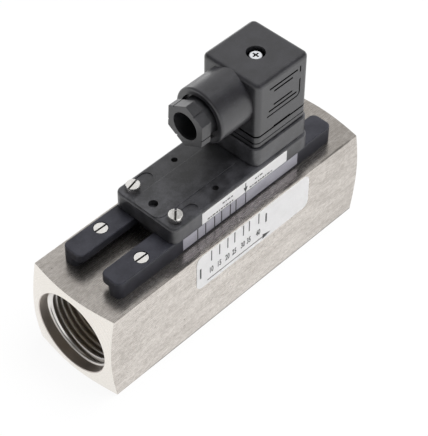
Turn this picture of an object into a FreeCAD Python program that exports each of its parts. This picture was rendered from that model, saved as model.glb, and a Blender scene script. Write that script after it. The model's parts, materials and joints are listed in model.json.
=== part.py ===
import FreeCAD, Part
import math
import os

# Variable area flow switch, in millimetres.
# +X is the flow direction, +Y points away from the label side, +Z is up.
# The origin is the middle of the flow body's flat bottom face.

# Flow body: a square bar with a turned cone on each end
BODY_WIDTH = 40.0
BODY_LENGTH = 133.4
END_RING_WIDTH = 1.9
END_CONE_ANGLE = 15.0

# Female G1 pipe thread at both ends
THREAD_MAJOR_RADIUS = 16.624
THREAD_DEPTH = 1.479
THREAD_PITCH = 2.309
THREAD_HALF_ANGLE = 27.5
THREAD_TURNS = 8
THREAD_SECTORS = 3
LEAD_IN_CLEARANCE = 0.1
LEAD_IN_LENGTH = 4.0
MOUTH_CHAMFER = 0.25
THREAD_RELIEF_LENGTH = 2.6
THREAD_RELIEF_CLEARANCE = 0.08
THREAD_OVERCUT = 0.15
FLOW_BORE_RADIUS = 14.0

# Seat of the measuring insert in the inlet
SEAT_CLEARANCE = 0.05
SEAT_LAND = 0.7
FLANGE_RADIUS = 14.6
FLANGE_THICKNESS = 2.0
RING_THICKNESS = 1.2
RING_DEPTH = 1.0
RING_WIDTH = 2.2
RING_GAP_ANGLE = 40.0
RING_SIDE_CLEARANCE = 0.05

# Slotted nozzle that the float slides in
NOZZLE_INNER_RADIUS = 10.0
NOZZLE_WALL = 2.0
NOZZLE_LENGTH = 78.0
INLET_ORIFICE_RADIUS = 8.2
INLET_ORIFICE_LENGTH = 4.0
FLOW_SLOT_COUNT = 3
FLOW_SLOT_START = 8.0
FLOW_SLOT_LENGTH = 42.0
FLOW_SLOT_NARROW = 2.0
FLOW_SLOT_WIDE = 5.0

# Float with its magnet
FLOAT_CLEARANCE = 0.08
FLOAT_LENGTH = 26.0
FLOAT_REST_GAP = 0.1
FLOAT_NOSE_CHAMFER = 1.5
MAGNET_RADIUS = 7.0
MAGNET_LENGTH = 12.0
MAGNET_PLUG_LENGTH = 3.0

# Return spring and the disc that carries it
SPRING_RADIUS = 7.6
SPRING_WIRE_RADIUS = 0.4
SPRING_SECTION_ARCS = 4
SPRING_TURNS = 9
SPRING_END_GAP = 0.1
SPRING_SEAT_THICKNESS = 1.6
SPRING_SEAT_HOLE_RADIUS = 4.0
SPRING_SEAT_SETBACK = 3.0
SEAT_RING_THICKNESS = 1.0
SEAT_RING_DEPTH = 0.6
SEAT_RING_WIDTH = 1.6

# Guide rails on top of the body
RAIL_OUTER_SPAN = 28.6
RAIL_WIDTH = 9.5
RAIL_LENGTH = 112.0
RAIL_HEIGHT = 7.5
RAIL_NOSE_RADIUS = 2.6
RAIL_FOOT_HEIGHT = 4.0
RAIL_UNDERCUT = 2.8
RAIL_EDGE_RADIUS = 0.6
RAIL_SCREW_SPACING = 81.8
RAIL_SCREW_INSET = 4.15
RAIL_SCREW_HEAD_RADIUS = 2.6
RAIL_SCREW_HEAD_GAP = 0.3
RAIL_SCREW_RADIUS = 1.5
RAIL_SCREW_DEPTH = 4.6
RAIL_SCREW_RECESS = 0.2
RAIL_SCREW_TURN = -2.0

# Printed strips, thin plates
STRIP_THICKNESS = 0.2
SCALE_STRIP_START = -24.4
SCALE_STRIP_LENGTH = 60.7
SCALE_STRIP_HEIGHT = 5.6
SCALE_STRIP_DROP = 0.9
FLOW_LABEL_START = -23.4
FLOW_LABEL_LENGTH = 60.5
FLOW_LABEL_HEIGHT = 16.6
FLOW_LABEL_DROP = 0.9
FLOW_LABEL_CORNER = 3.0
HOUSING_LABEL_START = 14.0
HOUSING_LABEL_LENGTH = 44.7
HOUSING_LABEL_HEIGHT = 5.4
HOUSING_LABEL_DROP = 1.2

# Switch housing that slides on the rails
HOUSING_START = -29.4
HOUSING_LENGTH = 71.0
HOUSING_HEIGHT = 6.9
HOUSING_WALL = 1.6
HOUSING_OVERHANG = 0.7
HOUSING_CORNER = 3.0
HOUSING_EDGE_RADIUS = 1.0
SLIDE_CLEARANCE = 0.1
PANEL_WIDTH = 13.8
PANEL_RISE = 0.3
PANEL_CORNER = 3.0
PANEL_EDGE_RADIUS = 0.2
PANEL_END_INSET = 0.4
NEAR_HOLE_INSET = 4.8
NEAR_HOLE_RADIUS = 1.8
NEAR_HOLE_DEPTH = 2.2

# Clamp screws that jam the housing on the rails
CLAMP_INSET = 5.2
CLAMP_SIDE_INSET = 4.45
CLAMP_SCREW_RADIUS = 1.5
CLAMP_HEAD_RADIUS = 2.65
CLAMP_HEAD_HEIGHT = 2.5
CLAMP_HEAD_EDGE = 0.2
CLAMP_TIP_GAP = 0.1
CLAMP_RECESS_SIDE_INSET = 3.7
CLAMP_RECESS_RADIUS = 2.4
CLAMP_RECESS_LENGTH = 7.4
CLAMP_RECESS_DEPTH = 0.3
CLAMP_TURNS = (12.0, 43.0)
INSERT_RADIUS = 2.3
INSERT_LENGTH = 4.4
INSERT_INSET = 0.8
BOSS_WALL = 0.9
SCREW_SLOT_WIDTH = 0.8
SCREW_SLOT_DEPTH = 0.9
THREAD_GAP = 0.02

# Base cover with the foot that runs between the rails
COVER_THICKNESS = 1.6
COVER_CLEARANCE = 0.1
FOOT_SIDE_CLEARANCE = 0.3
FOOT_END_INSET = 2.0
FOOT_LIFT = 0.3
COVER_SCREW_INSET = 25.9
COVER_SCREW_SIDE_INSET = 4.75
COVER_SCREW_RADIUS = 1.2
COVER_SCREW_HEAD_RADIUS = 2.2
COVER_SCREW_TIP_INSET = 2.0

# Reed contact and its board
BOARD_THICKNESS = 0.8
BOARD_WIDTH = 14.8
BOARD_WIDE_WIDTH = 22.0
BOARD_WIDE_LENGTH = 13.8
BOARD_START_MARGIN = 6.6
BOARD_END_INSET = 3.6
BOARD_HOLE_CLEARANCE = 0.1
REED_SETBACK = 20.8
REED_RADIUS = 1.1
REED_LENGTH = 14.0
REED_WALL = 0.25
REED_LEAD_RADIUS = 0.3
REED_LEAD_LENGTH = 3.0
REED_BLADE_WIDTH = 1.0
REED_BLADE_THICKNESS = 0.25
REED_BLADE_OVERLAP = 1.5
REED_CONTACT_GAP = 0.06
REED_LEG_RADIUS = 0.25

# Square connector base on the housing
BASE_SIDE = 28.4
BASE_HEIGHT = 8.4
BASE_CORNER = 3.2
BASE_EDGE = 0.4
BASE_FOOT_EDGE = 0.3
BASE_SCREW_END_INSET = 4.1
BASE_SCREW_SIDE_INSET = 4.9
BASE_SCREW_RADIUS = 1.25
BASE_SCREW_HEAD_RADIUS = 2.2
BASE_SCREW_CLEARANCE = 0.15
BLADE_RING = 9.0
BLADE_WIDTH = 6.3
BLADE_THICKNESS = 0.8
BLADE_RISE = 11.0
BLADE_TAIL_WIDTH = 1.6
BLADE_SHOULDER = 1.2
BLADE_TIP_CHAMFER = 1.0
BLADE_FIT = 0.03

# Plug hood and the parts in it
GASKET_SIDE = 26.2
GASKET_OPENING = 22.4
GASKET_THICKNESS = 0.6
HOOD_SIDE = 27.0
HOOD_HEIGHT = 29.1
HOOD_WALL = 1.9
HOOD_TOP = 4.8
HOOD_CORNER = 2.4
HOOD_CAVITY_CORNER = 1.0
HOOD_TOP_RADIUS = 1.8
HOOD_GROOVE_HEIGHTS = (1.5, 4.5)
HOOD_GROOVE_WIDTHS = (0.45, 0.8)
HOOD_GROOVE_DEPTH = 0.6
LATCH_LENGTH = 8.8
LATCH_HEIGHT = 1.2
HOOD_LINE_DROP = 9.8
HOOD_LINE_OFFSETS = (3.2, 5.2)
HOOD_LINE_LENGTHS = (9.8, 14.7)
HOOD_LINE_WIDTH = 0.8
HOOD_LINE_DEPTH = 0.6
HOOD_FRAME_DROP = 17.2
HOOD_FRAME_REACH = 8.85
HOOD_FRAME_LENGTH = 17.3
HOOD_FRAME_HEIGHT = 8.0
HOOD_FRAME_CORNER = 1.8
HOOD_FRAME_WIDTH = 0.65
HOOD_FRAME_GAP = 2.8
HOOD_FRAME_TIP = 2.8
HOOD_RECESS_RADIUS = 3.6
HOOD_RECESS_DEPTH = 3.4
HOOD_COLUMN_RADIUS = 4.4
HOOD_SCREW_RADIUS = 1.5
HOOD_SCREW_HEAD_RADIUS = 2.4
HOOD_SCREW_HEAD_HEIGHT = 1.6
HOOD_SCREW_REACH = 6.0
HOOD_SCREW_CLEARANCE = 0.05
CROSS_WIDTH = 0.7
CROSS_LENGTH = 2.8
CROSS_DEPTH = 0.9
SCREW_SEAL_RADIUS = 2.9
SCREW_SEAL_THICKNESS = 0.6
BLOCK_HEIGHT = 14.7
BLOCK_LIFT = 0.4
BLOCK_CLEARANCE = 0.1
SOCKET_WIDTH = 7.4
SOCKET_DEPTH = 5.2
SOCKET_HEIGHT = 10.0
SOCKET_LIFT = 1.9
SOCKET_OUTSET = 1.4
SOCKET_BLADE_GAP = 0.15
TERMINAL_SCREW_RADIUS = 1.25
TERMINAL_SCREW_HEAD_RADIUS = 2.0
TERMINAL_SCREW_HEAD_HEIGHT = 1.2
TERMINAL_SCREW_LENGTH = 6.0
TERMINAL_SCREW_INSET = 1.6
TERMINAL_SCREW_TURN = 30.0

# Cable gland on the hood
GLAND_DROP = 11.4
NECK_RADIUS = 11.3
NECK_LENGTH = 15.3
NECK_RIM_RADIUS = 1.0
NECK_RECESS_RADIUS = 8.8
NECK_RECESS_DEPTH = 2.0
GLAND_BORE_RADIUS = 7.55
GLAND_BORE_GAP = 0.05
GLAND_SHOULDER = 0.8
GLAND_SHOULDER_RADIUS = 6.2
NUT_ACROSS_FLATS = 16.2
NUT_TURN = 2.0
NUT_PROUD = 7.0
NUT_HEX_LENGTH = 4.4
NUT_CORNER_RADIUS = 0.4
NUT_SPIGOT_LENGTH = 11.6
NUT_BORE_RADIUS = 5.6
NUT_GROOVE_WIDTH = 0.5
NUT_GROOVE_DEPTH = 0.5
NUT_GROOVE_SHIFTS = (-1.9, -1.9, 0.0, 1.9, 1.9, 0.0)
WASHER_THICKNESS = 0.8
GROMMET_BORE_RADIUS = 4.6

# Places that follow from the sizes above
CUT_ALLOWANCE = 1.0
BODY_AXIS_Z = BODY_WIDTH / 2
INLET_X = -BODY_LENGTH / 2
THREAD_MINOR_RADIUS = THREAD_MAJOR_RADIUS - THREAD_DEPTH
LEAD_IN_RADIUS = THREAD_MAJOR_RADIUS + LEAD_IN_CLEARANCE
RELIEF_RADIUS = THREAD_MAJOR_RADIUS + THREAD_RELIEF_CLEARANCE
SEAT_RADIUS = FLANGE_RADIUS + SEAT_CLEARANCE
THREAD_START = LEAD_IN_LENGTH - THREAD_PITCH
RELIEF_START = THREAD_START + THREAD_TURNS * THREAD_PITCH - THREAD_RELIEF_LENGTH / 2
RELIEF_END = RELIEF_START + THREAD_RELIEF_LENGTH
RING_SLOT = RING_THICKNESS + 2 * RING_SIDE_CLEARANCE
RING_GROOVE_START = RELIEF_END + SEAT_LAND
FLANGE_START = RING_GROOVE_START + RING_SLOT
SHOULDER_DEPTH = FLANGE_START + FLANGE_THICKNESS
FLANGE_X = INLET_X + FLANGE_START
NOZZLE_END_X = FLANGE_X + NOZZLE_LENGTH
NOZZLE_OUTER_RADIUS = NOZZLE_INNER_RADIUS + NOZZLE_WALL
FLOAT_RADIUS = NOZZLE_INNER_RADIUS - FLOAT_CLEARANCE
FLOAT_X = FLANGE_X + INLET_ORIFICE_LENGTH + FLOAT_REST_GAP
FLOAT_END_X = FLOAT_X + FLOAT_LENGTH
SEAT_RING_X = NOZZLE_END_X - SPRING_SEAT_SETBACK
SPRING_SEAT_X = SEAT_RING_X - SPRING_SEAT_THICKNESS

RAIL_BASE_Z = BODY_WIDTH
RAIL_TOP_Z = RAIL_BASE_Z + RAIL_HEIGHT
RAIL_FLANGE_Z = RAIL_BASE_Z + RAIL_FOOT_HEIGHT
RAIL_OUTER_Y = RAIL_OUTER_SPAN / 2
RAIL_INNER_Y = RAIL_OUTER_Y - RAIL_WIDTH
RAIL_SCREW_Y = RAIL_OUTER_Y - RAIL_SCREW_INSET
RAIL_FOOT_Y = RAIL_INNER_Y + RAIL_UNDERCUT

HOUSING_END = HOUSING_START + HOUSING_LENGTH
HOUSING_BASE_Z = RAIL_TOP_Z + SLIDE_CLEARANCE
HOUSING_TOP_Z = HOUSING_BASE_Z + HOUSING_HEIGHT
HOUSING_CEILING_Z = HOUSING_TOP_Z - HOUSING_WALL
HOUSING_HALF_WIDTH = RAIL_OUTER_Y + HOUSING_OVERHANG
CLAMP_X = HOUSING_START + CLAMP_INSET
CLAMP_Y = HOUSING_HALF_WIDTH - CLAMP_SIDE_INSET
INSERT_TOP_Z = HOUSING_TOP_Z - INSERT_INSET
BOSS_RADIUS = INSERT_RADIUS + BOSS_WALL
COVER_TOP_Z = HOUSING_BASE_Z + COVER_THICKNESS
COVER_SCREW_X = HOUSING_START + COVER_SCREW_INSET
COVER_SCREW_Y = HOUSING_HALF_WIDTH - COVER_SCREW_SIDE_INSET
COVER_BOSS_RADIUS = COVER_SCREW_RADIUS + BOSS_WALL
BOARD_TOP_Z = COVER_TOP_Z + BOARD_THICKNESS

PLUG_X = HOUSING_END - BASE_SIDE / 2
REED_X = PLUG_X - REED_SETBACK
BASE_TOP_Z = HOUSING_TOP_Z + BASE_HEIGHT
GASKET_TOP_Z = BASE_TOP_Z + GASKET_THICKNESS
HOOD_TOP_Z = GASKET_TOP_Z + HOOD_HEIGHT
HOOD_CEILING_Z = HOOD_TOP_Z - HOOD_TOP
HOOD_CAVITY_SIDE = HOOD_SIDE - 2 * HOOD_WALL
HOOD_FRONT_X = PLUG_X - HOOD_SIDE / 2
BLOCK_BASE_Z = GASKET_TOP_Z + BLOCK_LIFT
BLOCK_TOP_Z = BLOCK_BASE_Z + BLOCK_HEIGHT
SOCKET_BASE_Z = BLOCK_BASE_Z + SOCKET_LIFT
SOCKET_TOP_Z = SOCKET_BASE_Z + SOCKET_HEIGHT
RECESS_FLOOR_Z = HOOD_TOP_Z - HOOD_RECESS_DEPTH
HOOD_SCREW_SEAT_Z = RECESS_FLOOR_Z + SCREW_SEAL_THICKNESS
GLAND_Z = HOOD_TOP_Z - GLAND_DROP
NECK_END_X = HOOD_FRONT_X - NECK_LENGTH
NUT_END_X = NECK_END_X - NUT_PROUD
NUT_HEX_END_X = NUT_END_X + NUT_HEX_LENGTH
SPIGOT_END_X = NUT_HEX_END_X + NUT_SPIGOT_LENGTH
GLAND_SHOULDER_X = HOOD_FRONT_X + HOOD_WALL - GLAND_SHOULDER

X_AXIS = FreeCAD.Vector(1, 0, 0)
Y_AXIS = FreeCAD.Vector(0, 1, 0)
Z_AXIS = FreeCAD.Vector(0, 0, 1)


def at(x, y, z):
    return FreeCAD.Vector(x, y, z)


def fuse(shapes):
    """Joins overlapping solids into one clean solid."""
    return shapes[0].multiFuse(shapes[1:]).removeSplitter()


def block(x_low, x_high, y_low, y_high, z_low, z_high):
    return Part.makeBox(x_high - x_low, y_high - y_low, z_high - z_low, at(x_low, y_low, z_low))


def rod_x(x_low, x_high, y, z, radius):
    return Part.makeCylinder(radius, x_high - x_low, at(x_low, y, z), X_AXIS)


def rod_z(x, y, z_low, z_high, radius):
    return Part.makeCylinder(radius, z_high - z_low, at(x, y, z_low), Z_AXIS)


def tube_x(x_low, x_high, z, outer, inner):
    hole = rod_x(x_low - CUT_ALLOWANCE, x_high + CUT_ALLOWANCE, 0, z, inner)
    return rod_x(x_low, x_high, 0, z, outer).cut(hole)


def rounded_block(x_low, x_high, y_low, y_high, z_low, z_high, corner):
    """A box whose four upright edges are round."""
    solid = block(x_low, x_high, y_low, y_high, z_low, z_high)
    upright = [edge for edge in solid.Edges if edge.BoundBox.ZLength > (z_high - z_low) / 2]
    return solid.makeFillet(corner, upright)


def square_block(side, z_low, z_high, corner):
    """A rounded block of square plan under the plug's own axis."""
    half = side / 2
    return rounded_block(PLUG_X - half, PLUG_X + half, -half, half, z_low, z_high, corner)


def top_edges(solid):
    """The edges that lie wholly in the solid's highest plane."""
    top = solid.BoundBox.ZMax
    return [edge for edge in solid.Edges if edge.BoundBox.ZMin > top - 1e-4]


def long_slot(x_low, x_high, y_low, y_high, z_low, z_high):
    """A bar along X with half-round ends."""
    radius = (y_high - y_low) / 2
    y = (y_low + y_high) / 2
    middle = block(x_low + radius, x_high - radius, y_low, y_high, z_low, z_high)
    ends = [rod_z(x, y, z_low, z_high, radius) for x in (x_low + radius, x_high - radius)]
    return fuse([middle] + ends)


def turned_x(points, axis_z):
    """Turns an outline of (x, radius) points about an axis along X."""
    corners = [at(x, 0, axis_z + radius) for x, radius in points]
    face = Part.Face(Part.makePolygon(corners + corners[:1]))
    return face.revolve(at(0, 0, axis_z), X_AXIS, 360)


def slot_cut(x, y, z_top, length, width, depth, turn):
    """A driver slot, turned about the upright axis by some degrees."""
    cut = block(x - length / 2, x + length / 2, y - width / 2, y + width / 2, z_top - depth,
                z_top + CUT_ALLOWANCE)
    cut.rotate(at(x, y, z_top), Z_AXIS, turn)
    return cut


def countersunk_screw(x, y, z_top, z_tip, head_radius, radius):
    """A flush screw with a 90 degree head and its shank pointing down."""
    cone = head_radius - radius
    head = Part.makeCone(radius, head_radius, cone, at(x, y, z_top - cone), Z_AXIS)
    return fuse([head, rod_z(x, y, z_tip, z_top - cone + THREAD_GAP, radius)])


def countersink(x, y, z_top, z_bottom, head_radius, radius, gap):
    """The hole for a flush screw, wider than the screw by one gap."""
    cone = head_radius - radius
    head = Part.makeCone(radius + gap, head_radius + gap, cone, at(x, y, z_top - cone), Z_AXIS)
    mouth = rod_z(x, y, z_top, z_top + CUT_ALLOWANCE, head_radius + gap)
    return fuse([head, mouth, rod_z(x, y, z_bottom, z_top - cone + gap, radius + gap)])


def thread_turns():
    """The groove of a right-hand thread along X from the origin, one solid for each turn."""
    slope = math.tan(math.radians(THREAD_HALF_ANGLE))
    root = THREAD_PITCH / 4 - THREAD_DEPTH * slope / 2
    mouth = root + (THREAD_DEPTH + THREAD_OVERCUT) * slope
    inner = THREAD_MINOR_RADIUS - THREAD_OVERCUT
    corners = [at(inner, 0, -mouth), at(THREAD_MAJOR_RADIUS, 0, -root),
               at(THREAD_MAJOR_RADIUS, 0, root), at(inner, 0, mouth)]
    helix = Part.Wire(Part.makeHelix(THREAD_PITCH, THREAD_PITCH, THREAD_MINOR_RADIUS))
    turn = helix.makePipeShell([Part.makePolygon(corners + corners[:1])], True, True)
    turn.rotate(at(0, 0, 0), Y_AXIS, 90)
    turns = []
    for index in range(THREAD_TURNS):
        copy = turn.copy()
        copy.translate(at(index * THREAD_PITCH, 0, 0))
        turns.append(copy)
    return turns


def thread_bores():
    """The round bore of the inlet thread, in equal sectors about the body's axis."""
    start = INLET_X + LEAD_IN_LENGTH - CUT_ALLOWANCE
    length = RELIEF_START - LEAD_IN_LENGTH + 2 * CUT_ALLOWANCE
    sector = 360 / THREAD_SECTORS
    bores = []
    for index in range(THREAD_SECTORS):
        bore = Part.makeCylinder(THREAD_MINOR_RADIUS, length, at(start, 0, BODY_AXIS_Z), X_AXIS, sector)
        bore.rotate(at(0, 0, BODY_AXIS_Z), X_AXIS, index * sector)
        bores.append(bore)
    return bores


def port_outline(with_insert_seat):
    """Depth and radius of one port's wall, from outside its mouth to the flow bore."""
    points = [(-CUT_ALLOWANCE, LEAD_IN_RADIUS + MOUTH_CHAMFER + CUT_ALLOWANCE)]
    points += [(MOUTH_CHAMFER, LEAD_IN_RADIUS), (LEAD_IN_LENGTH, LEAD_IN_RADIUS)]
    points += [(LEAD_IN_LENGTH, FLOW_BORE_RADIUS), (RELIEF_START, FLOW_BORE_RADIUS)]
    points += [(RELIEF_START, RELIEF_RADIUS), (RELIEF_END, RELIEF_RADIUS)]
    if with_insert_seat:
        groove = SEAT_RADIUS + RING_DEPTH
        points += [(RELIEF_END, SEAT_RADIUS), (RING_GROOVE_START, SEAT_RADIUS)]
        points += [(RING_GROOVE_START, groove), (FLANGE_START, groove)]
        points += [(FLANGE_START, SEAT_RADIUS), (SHOULDER_DEPTH, SEAT_RADIUS),
                   (SHOULDER_DEPTH, FLOW_BORE_RADIUS)]
    else:
        points += [(RELIEF_END, FLOW_BORE_RADIUS)]
    return points


def rail_screw_places():
    half = RAIL_SCREW_SPACING / 2
    return [(x, y) for x in (-half, half) for y in (-RAIL_SCREW_Y, RAIL_SCREW_Y)]


def flow_body():
    half = BODY_LENGTH / 2
    bar = block(-half, half, -BODY_WIDTH / 2, BODY_WIDTH / 2, 0, BODY_WIDTH)
    face_radius = LEAD_IN_RADIUS + END_RING_WIDTH
    reach = BODY_WIDTH
    cone = (reach - face_radius) * math.tan(math.radians(END_CONE_ANGLE))
    ends = [(-half, 0), (-half, face_radius), (-half + cone, reach)]
    ends += [(half - cone, reach), (half, face_radius), (half, 0)]
    solid = bar.common(turned_x(ends, BODY_AXIS_Z))
    inlet = [(-half + depth, radius) for depth, radius in port_outline(True)]
    outlet = [(half - depth, radius) for depth, radius in reversed(port_outline(False))]
    bore = [(inlet[0][0], 0)] + inlet + outlet + [(outlet[-1][0], 0)]
    solid = solid.cut(turned_x(bore, BODY_AXIS_Z))
    holes = [rod_z(x, y, RAIL_BASE_Z - RAIL_SCREW_DEPTH - THREAD_GAP, RAIL_BASE_Z + CUT_ALLOWANCE,
                   RAIL_SCREW_RADIUS + THREAD_GAP) for x, y in rail_screw_places()]
    solid = solid.cut(holes)
    for turn in (0, 180):
        grooves = thread_turns()
        for groove in grooves:
            groove.translate(at(INLET_X + THREAD_START, 0, BODY_AXIS_Z))
        for cutter in thread_bores() + grooves:
            cutter.rotate(at(0, 0, 0), Z_AXIS, turn)
            solid = solid.cut(cutter)
    return solid


def rail(side):
    """One guide rail, with the undercut on its inner side; side is -1 or 1."""
    half = RAIL_LENGTH / 2
    flange = rounded_block(-half, half, RAIL_INNER_Y, RAIL_OUTER_Y, RAIL_FLANGE_Z, RAIL_TOP_Z,
                           RAIL_NOSE_RADIUS)
    flange = flange.makeFillet(RAIL_EDGE_RADIUS, top_edges(flange))
    foot = rounded_block(-half, half, RAIL_FOOT_Y, RAIL_OUTER_Y, RAIL_BASE_Z, RAIL_FLANGE_Z,
                         RAIL_NOSE_RADIUS)
    solid = fuse([flange, foot])
    for x in (-RAIL_SCREW_SPACING / 2, RAIL_SCREW_SPACING / 2):
        solid = solid.cut(countersink(x, RAIL_SCREW_Y, RAIL_TOP_Z - RAIL_SCREW_RECESS,
                                      RAIL_BASE_Z - CUT_ALLOWANCE,
                                      RAIL_SCREW_HEAD_RADIUS, RAIL_SCREW_RADIUS, RAIL_SCREW_HEAD_GAP))
    if side < 0:
        solid = solid.mirror(at(0, 0, 0), Y_AXIS)
    return solid


def rail_screws():
    z_top = RAIL_TOP_Z - RAIL_SCREW_RECESS
    screws = []
    for x, y in rail_screw_places():
        screw = countersunk_screw(x, y, z_top, RAIL_BASE_Z - RAIL_SCREW_DEPTH, RAIL_SCREW_HEAD_RADIUS,
                                  RAIL_SCREW_RADIUS)
        slot = slot_cut(x, y, z_top, 3 * RAIL_SCREW_HEAD_RADIUS, SCREW_SLOT_WIDTH, SCREW_SLOT_DEPTH,
                        RAIL_SCREW_TURN)
        screws.append(screw.cut(slot))
    return Part.makeCompound(screws)


def scale_strip():
    top = RAIL_TOP_Z - SCALE_STRIP_DROP
    return block(SCALE_STRIP_START, SCALE_STRIP_START + SCALE_STRIP_LENGTH,
                 -RAIL_OUTER_Y - STRIP_THICKNESS, -RAIL_OUTER_Y,
                 top - SCALE_STRIP_HEIGHT, top)


def flow_label():
    top = BODY_WIDTH - FLOW_LABEL_DROP
    front = -BODY_WIDTH / 2
    plate = block(FLOW_LABEL_START, FLOW_LABEL_START + FLOW_LABEL_LENGTH, front - STRIP_THICKNESS, front,
                  top - FLOW_LABEL_HEIGHT, top)
    across = [edge for edge in plate.Edges if edge.BoundBox.YLength > STRIP_THICKNESS / 2]
    return plate.makeFillet(FLOW_LABEL_CORNER, across)


def retaining_ring(x_low, thickness, outer, width, z):
    """A flat spring ring with a gap at its bottom."""
    ring = tube_x(x_low, x_low + thickness, z, outer, outer - width)
    half_gap = outer * math.sin(math.radians(RING_GAP_ANGLE / 2))
    gap = block(x_low - CUT_ALLOWANCE, x_low + thickness + CUT_ALLOWANCE, -half_gap, half_gap,
                z - 2 * outer, z)
    return ring.cut(gap)


def inlet_ring():
    x_low = INLET_X + RING_GROOVE_START + RING_SIDE_CLEARANCE
    return retaining_ring(x_low, RING_THICKNESS, SEAT_RADIUS + RING_DEPTH - RING_SIDE_CLEARANCE,
                          RING_WIDTH, BODY_AXIS_Z)


def seat_ring():
    outer = NOZZLE_INNER_RADIUS + SEAT_RING_DEPTH - RING_SIDE_CLEARANCE
    return retaining_ring(SEAT_RING_X + RING_SIDE_CLEARANCE, SEAT_RING_THICKNESS, outer,
                          SEAT_RING_WIDTH, BODY_AXIS_Z)


def flow_slot(turn):
    """One flow slot, widening with the flow, cut outwards through the nozzle wall."""
    start = FLANGE_X + FLOW_SLOT_START
    end = start + FLOW_SLOT_LENGTH
    corners = [at(start, -FLOW_SLOT_NARROW / 2, BODY_AXIS_Z), at(end, -FLOW_SLOT_WIDE / 2, BODY_AXIS_Z),
               at(end, FLOW_SLOT_WIDE / 2, BODY_AXIS_Z), at(start, FLOW_SLOT_NARROW / 2, BODY_AXIS_Z)]
    outline = Part.Face(Part.makePolygon(corners + corners[:1]))
    cut = outline.extrude(at(0, 0, NOZZLE_OUTER_RADIUS + CUT_ALLOWANCE))
    cut.rotate(at(0, 0, BODY_AXIS_Z), X_AXIS, turn)
    return cut


def slotted_nozzle():
    wall = NOZZLE_INNER_RADIUS
    groove_end = SEAT_RING_X + SEAT_RING_THICKNESS + 2 * RING_SIDE_CLEARANCE
    outline = [(FLANGE_X, INLET_ORIFICE_RADIUS), (FLANGE_X, FLANGE_RADIUS)]
    outline += [(FLANGE_X + FLANGE_THICKNESS, FLANGE_RADIUS),
                (FLANGE_X + FLANGE_THICKNESS, NOZZLE_OUTER_RADIUS)]
    outline += [(NOZZLE_END_X, NOZZLE_OUTER_RADIUS), (NOZZLE_END_X, wall), (groove_end, wall)]
    outline += [(groove_end, wall + SEAT_RING_DEPTH), (SEAT_RING_X, wall + SEAT_RING_DEPTH),
                (SEAT_RING_X, wall)]
    outline += [(FLANGE_X + INLET_ORIFICE_LENGTH, wall),
                (FLANGE_X + INLET_ORIFICE_LENGTH, INLET_ORIFICE_RADIUS)]
    turns = [360 / FLOW_SLOT_COUNT * index for index in range(FLOW_SLOT_COUNT)]
    return turned_x(outline, BODY_AXIS_Z).cut([flow_slot(turn) for turn in turns])


def spring_seat():
    return tube_x(SPRING_SEAT_X, SEAT_RING_X, BODY_AXIS_Z, NOZZLE_INNER_RADIUS - SEAT_CLEARANCE,
                  SPRING_SEAT_HOLE_RADIUS)


def float_body():
    nose = FLOAT_NOSE_CHAMFER
    outline = [(FLOAT_X, 0), (FLOAT_X, FLOAT_RADIUS - nose), (FLOAT_X + nose, FLOAT_RADIUS)]
    outline += [(FLOAT_END_X, FLOAT_RADIUS), (FLOAT_END_X, 0)]
    pocket_x = FLOAT_END_X - MAGNET_PLUG_LENGTH - MAGNET_LENGTH
    pocket = rod_x(pocket_x, FLOAT_END_X + CUT_ALLOWANCE, 0, BODY_AXIS_Z, MAGNET_RADIUS + THREAD_GAP)
    return turned_x(outline, BODY_AXIS_Z).cut(pocket)


def float_magnet():
    end = FLOAT_END_X - MAGNET_PLUG_LENGTH
    return rod_x(end - MAGNET_LENGTH, end, 0, BODY_AXIS_Z, MAGNET_RADIUS)


def magnet_plug():
    return rod_x(FLOAT_END_X - MAGNET_PLUG_LENGTH, FLOAT_END_X, 0, BODY_AXIS_Z, MAGNET_RADIUS)


def return_spring():
    """A round wire wound between the float and the spring seat."""
    inset = SPRING_END_GAP + SPRING_WIRE_RADIUS
    low = FLOAT_END_X + inset
    high = SPRING_SEAT_X - inset
    pitch = (high - low) / SPRING_TURNS
    helix = Part.makeHelix(pitch, high - low, SPRING_RADIUS)
    arc = 360 / SPRING_SECTION_ARCS
    section = [Part.makeCircle(SPRING_WIRE_RADIUS, at(SPRING_RADIUS, 0, 0), Y_AXIS, arc * index,
                               arc * (index + 1))
               for index in range(SPRING_SECTION_ARCS)]
    coil = Part.Wire(helix).makePipeShell([Part.Wire(section)], True, True)
    coil.rotate(at(0, 0, 0), Y_AXIS, 90)
    coil.translate(at(low, 0, BODY_AXIS_Z))
    return coil


def clamp_places():
    return [(CLAMP_X, CLAMP_Y), (CLAMP_X, -CLAMP_Y)]


def cover_screw_places():
    return [(COVER_SCREW_X, y) for y in (-COVER_SCREW_Y, COVER_SCREW_Y)]


def base_screw_places():
    x = BASE_SIDE / 2 - BASE_SCREW_END_INSET
    y = HOUSING_HALF_WIDTH - BASE_SCREW_SIDE_INSET
    return [(PLUG_X - x, -y), (PLUG_X - x, y), (PLUG_X + x, -y), (PLUG_X + x, y)]


def blade_turns():
    return [0, 90, 180, 270]


def around_plug(shape, turn):
    """A copy of a piece turned about the plug's upright axis."""
    copy = shape.copy()
    copy.rotate(at(PLUG_X, 0, 0), Z_AXIS, turn)
    return copy


def housing_panel():
    """The low raised field along the middle of the housing's top, up to the connector base."""
    half = PANEL_WIDTH / 2
    panel = rounded_block(HOUSING_START + PANEL_END_INSET, PLUG_X - BASE_SIDE / 2 - PANEL_END_INSET,
                          -half, half, HOUSING_TOP_Z - HOUSING_EDGE_RADIUS, HOUSING_TOP_Z + PANEL_RISE,
                          PANEL_CORNER)
    return panel.makeFillet(PANEL_EDGE_RADIUS, top_edges(panel))


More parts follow.
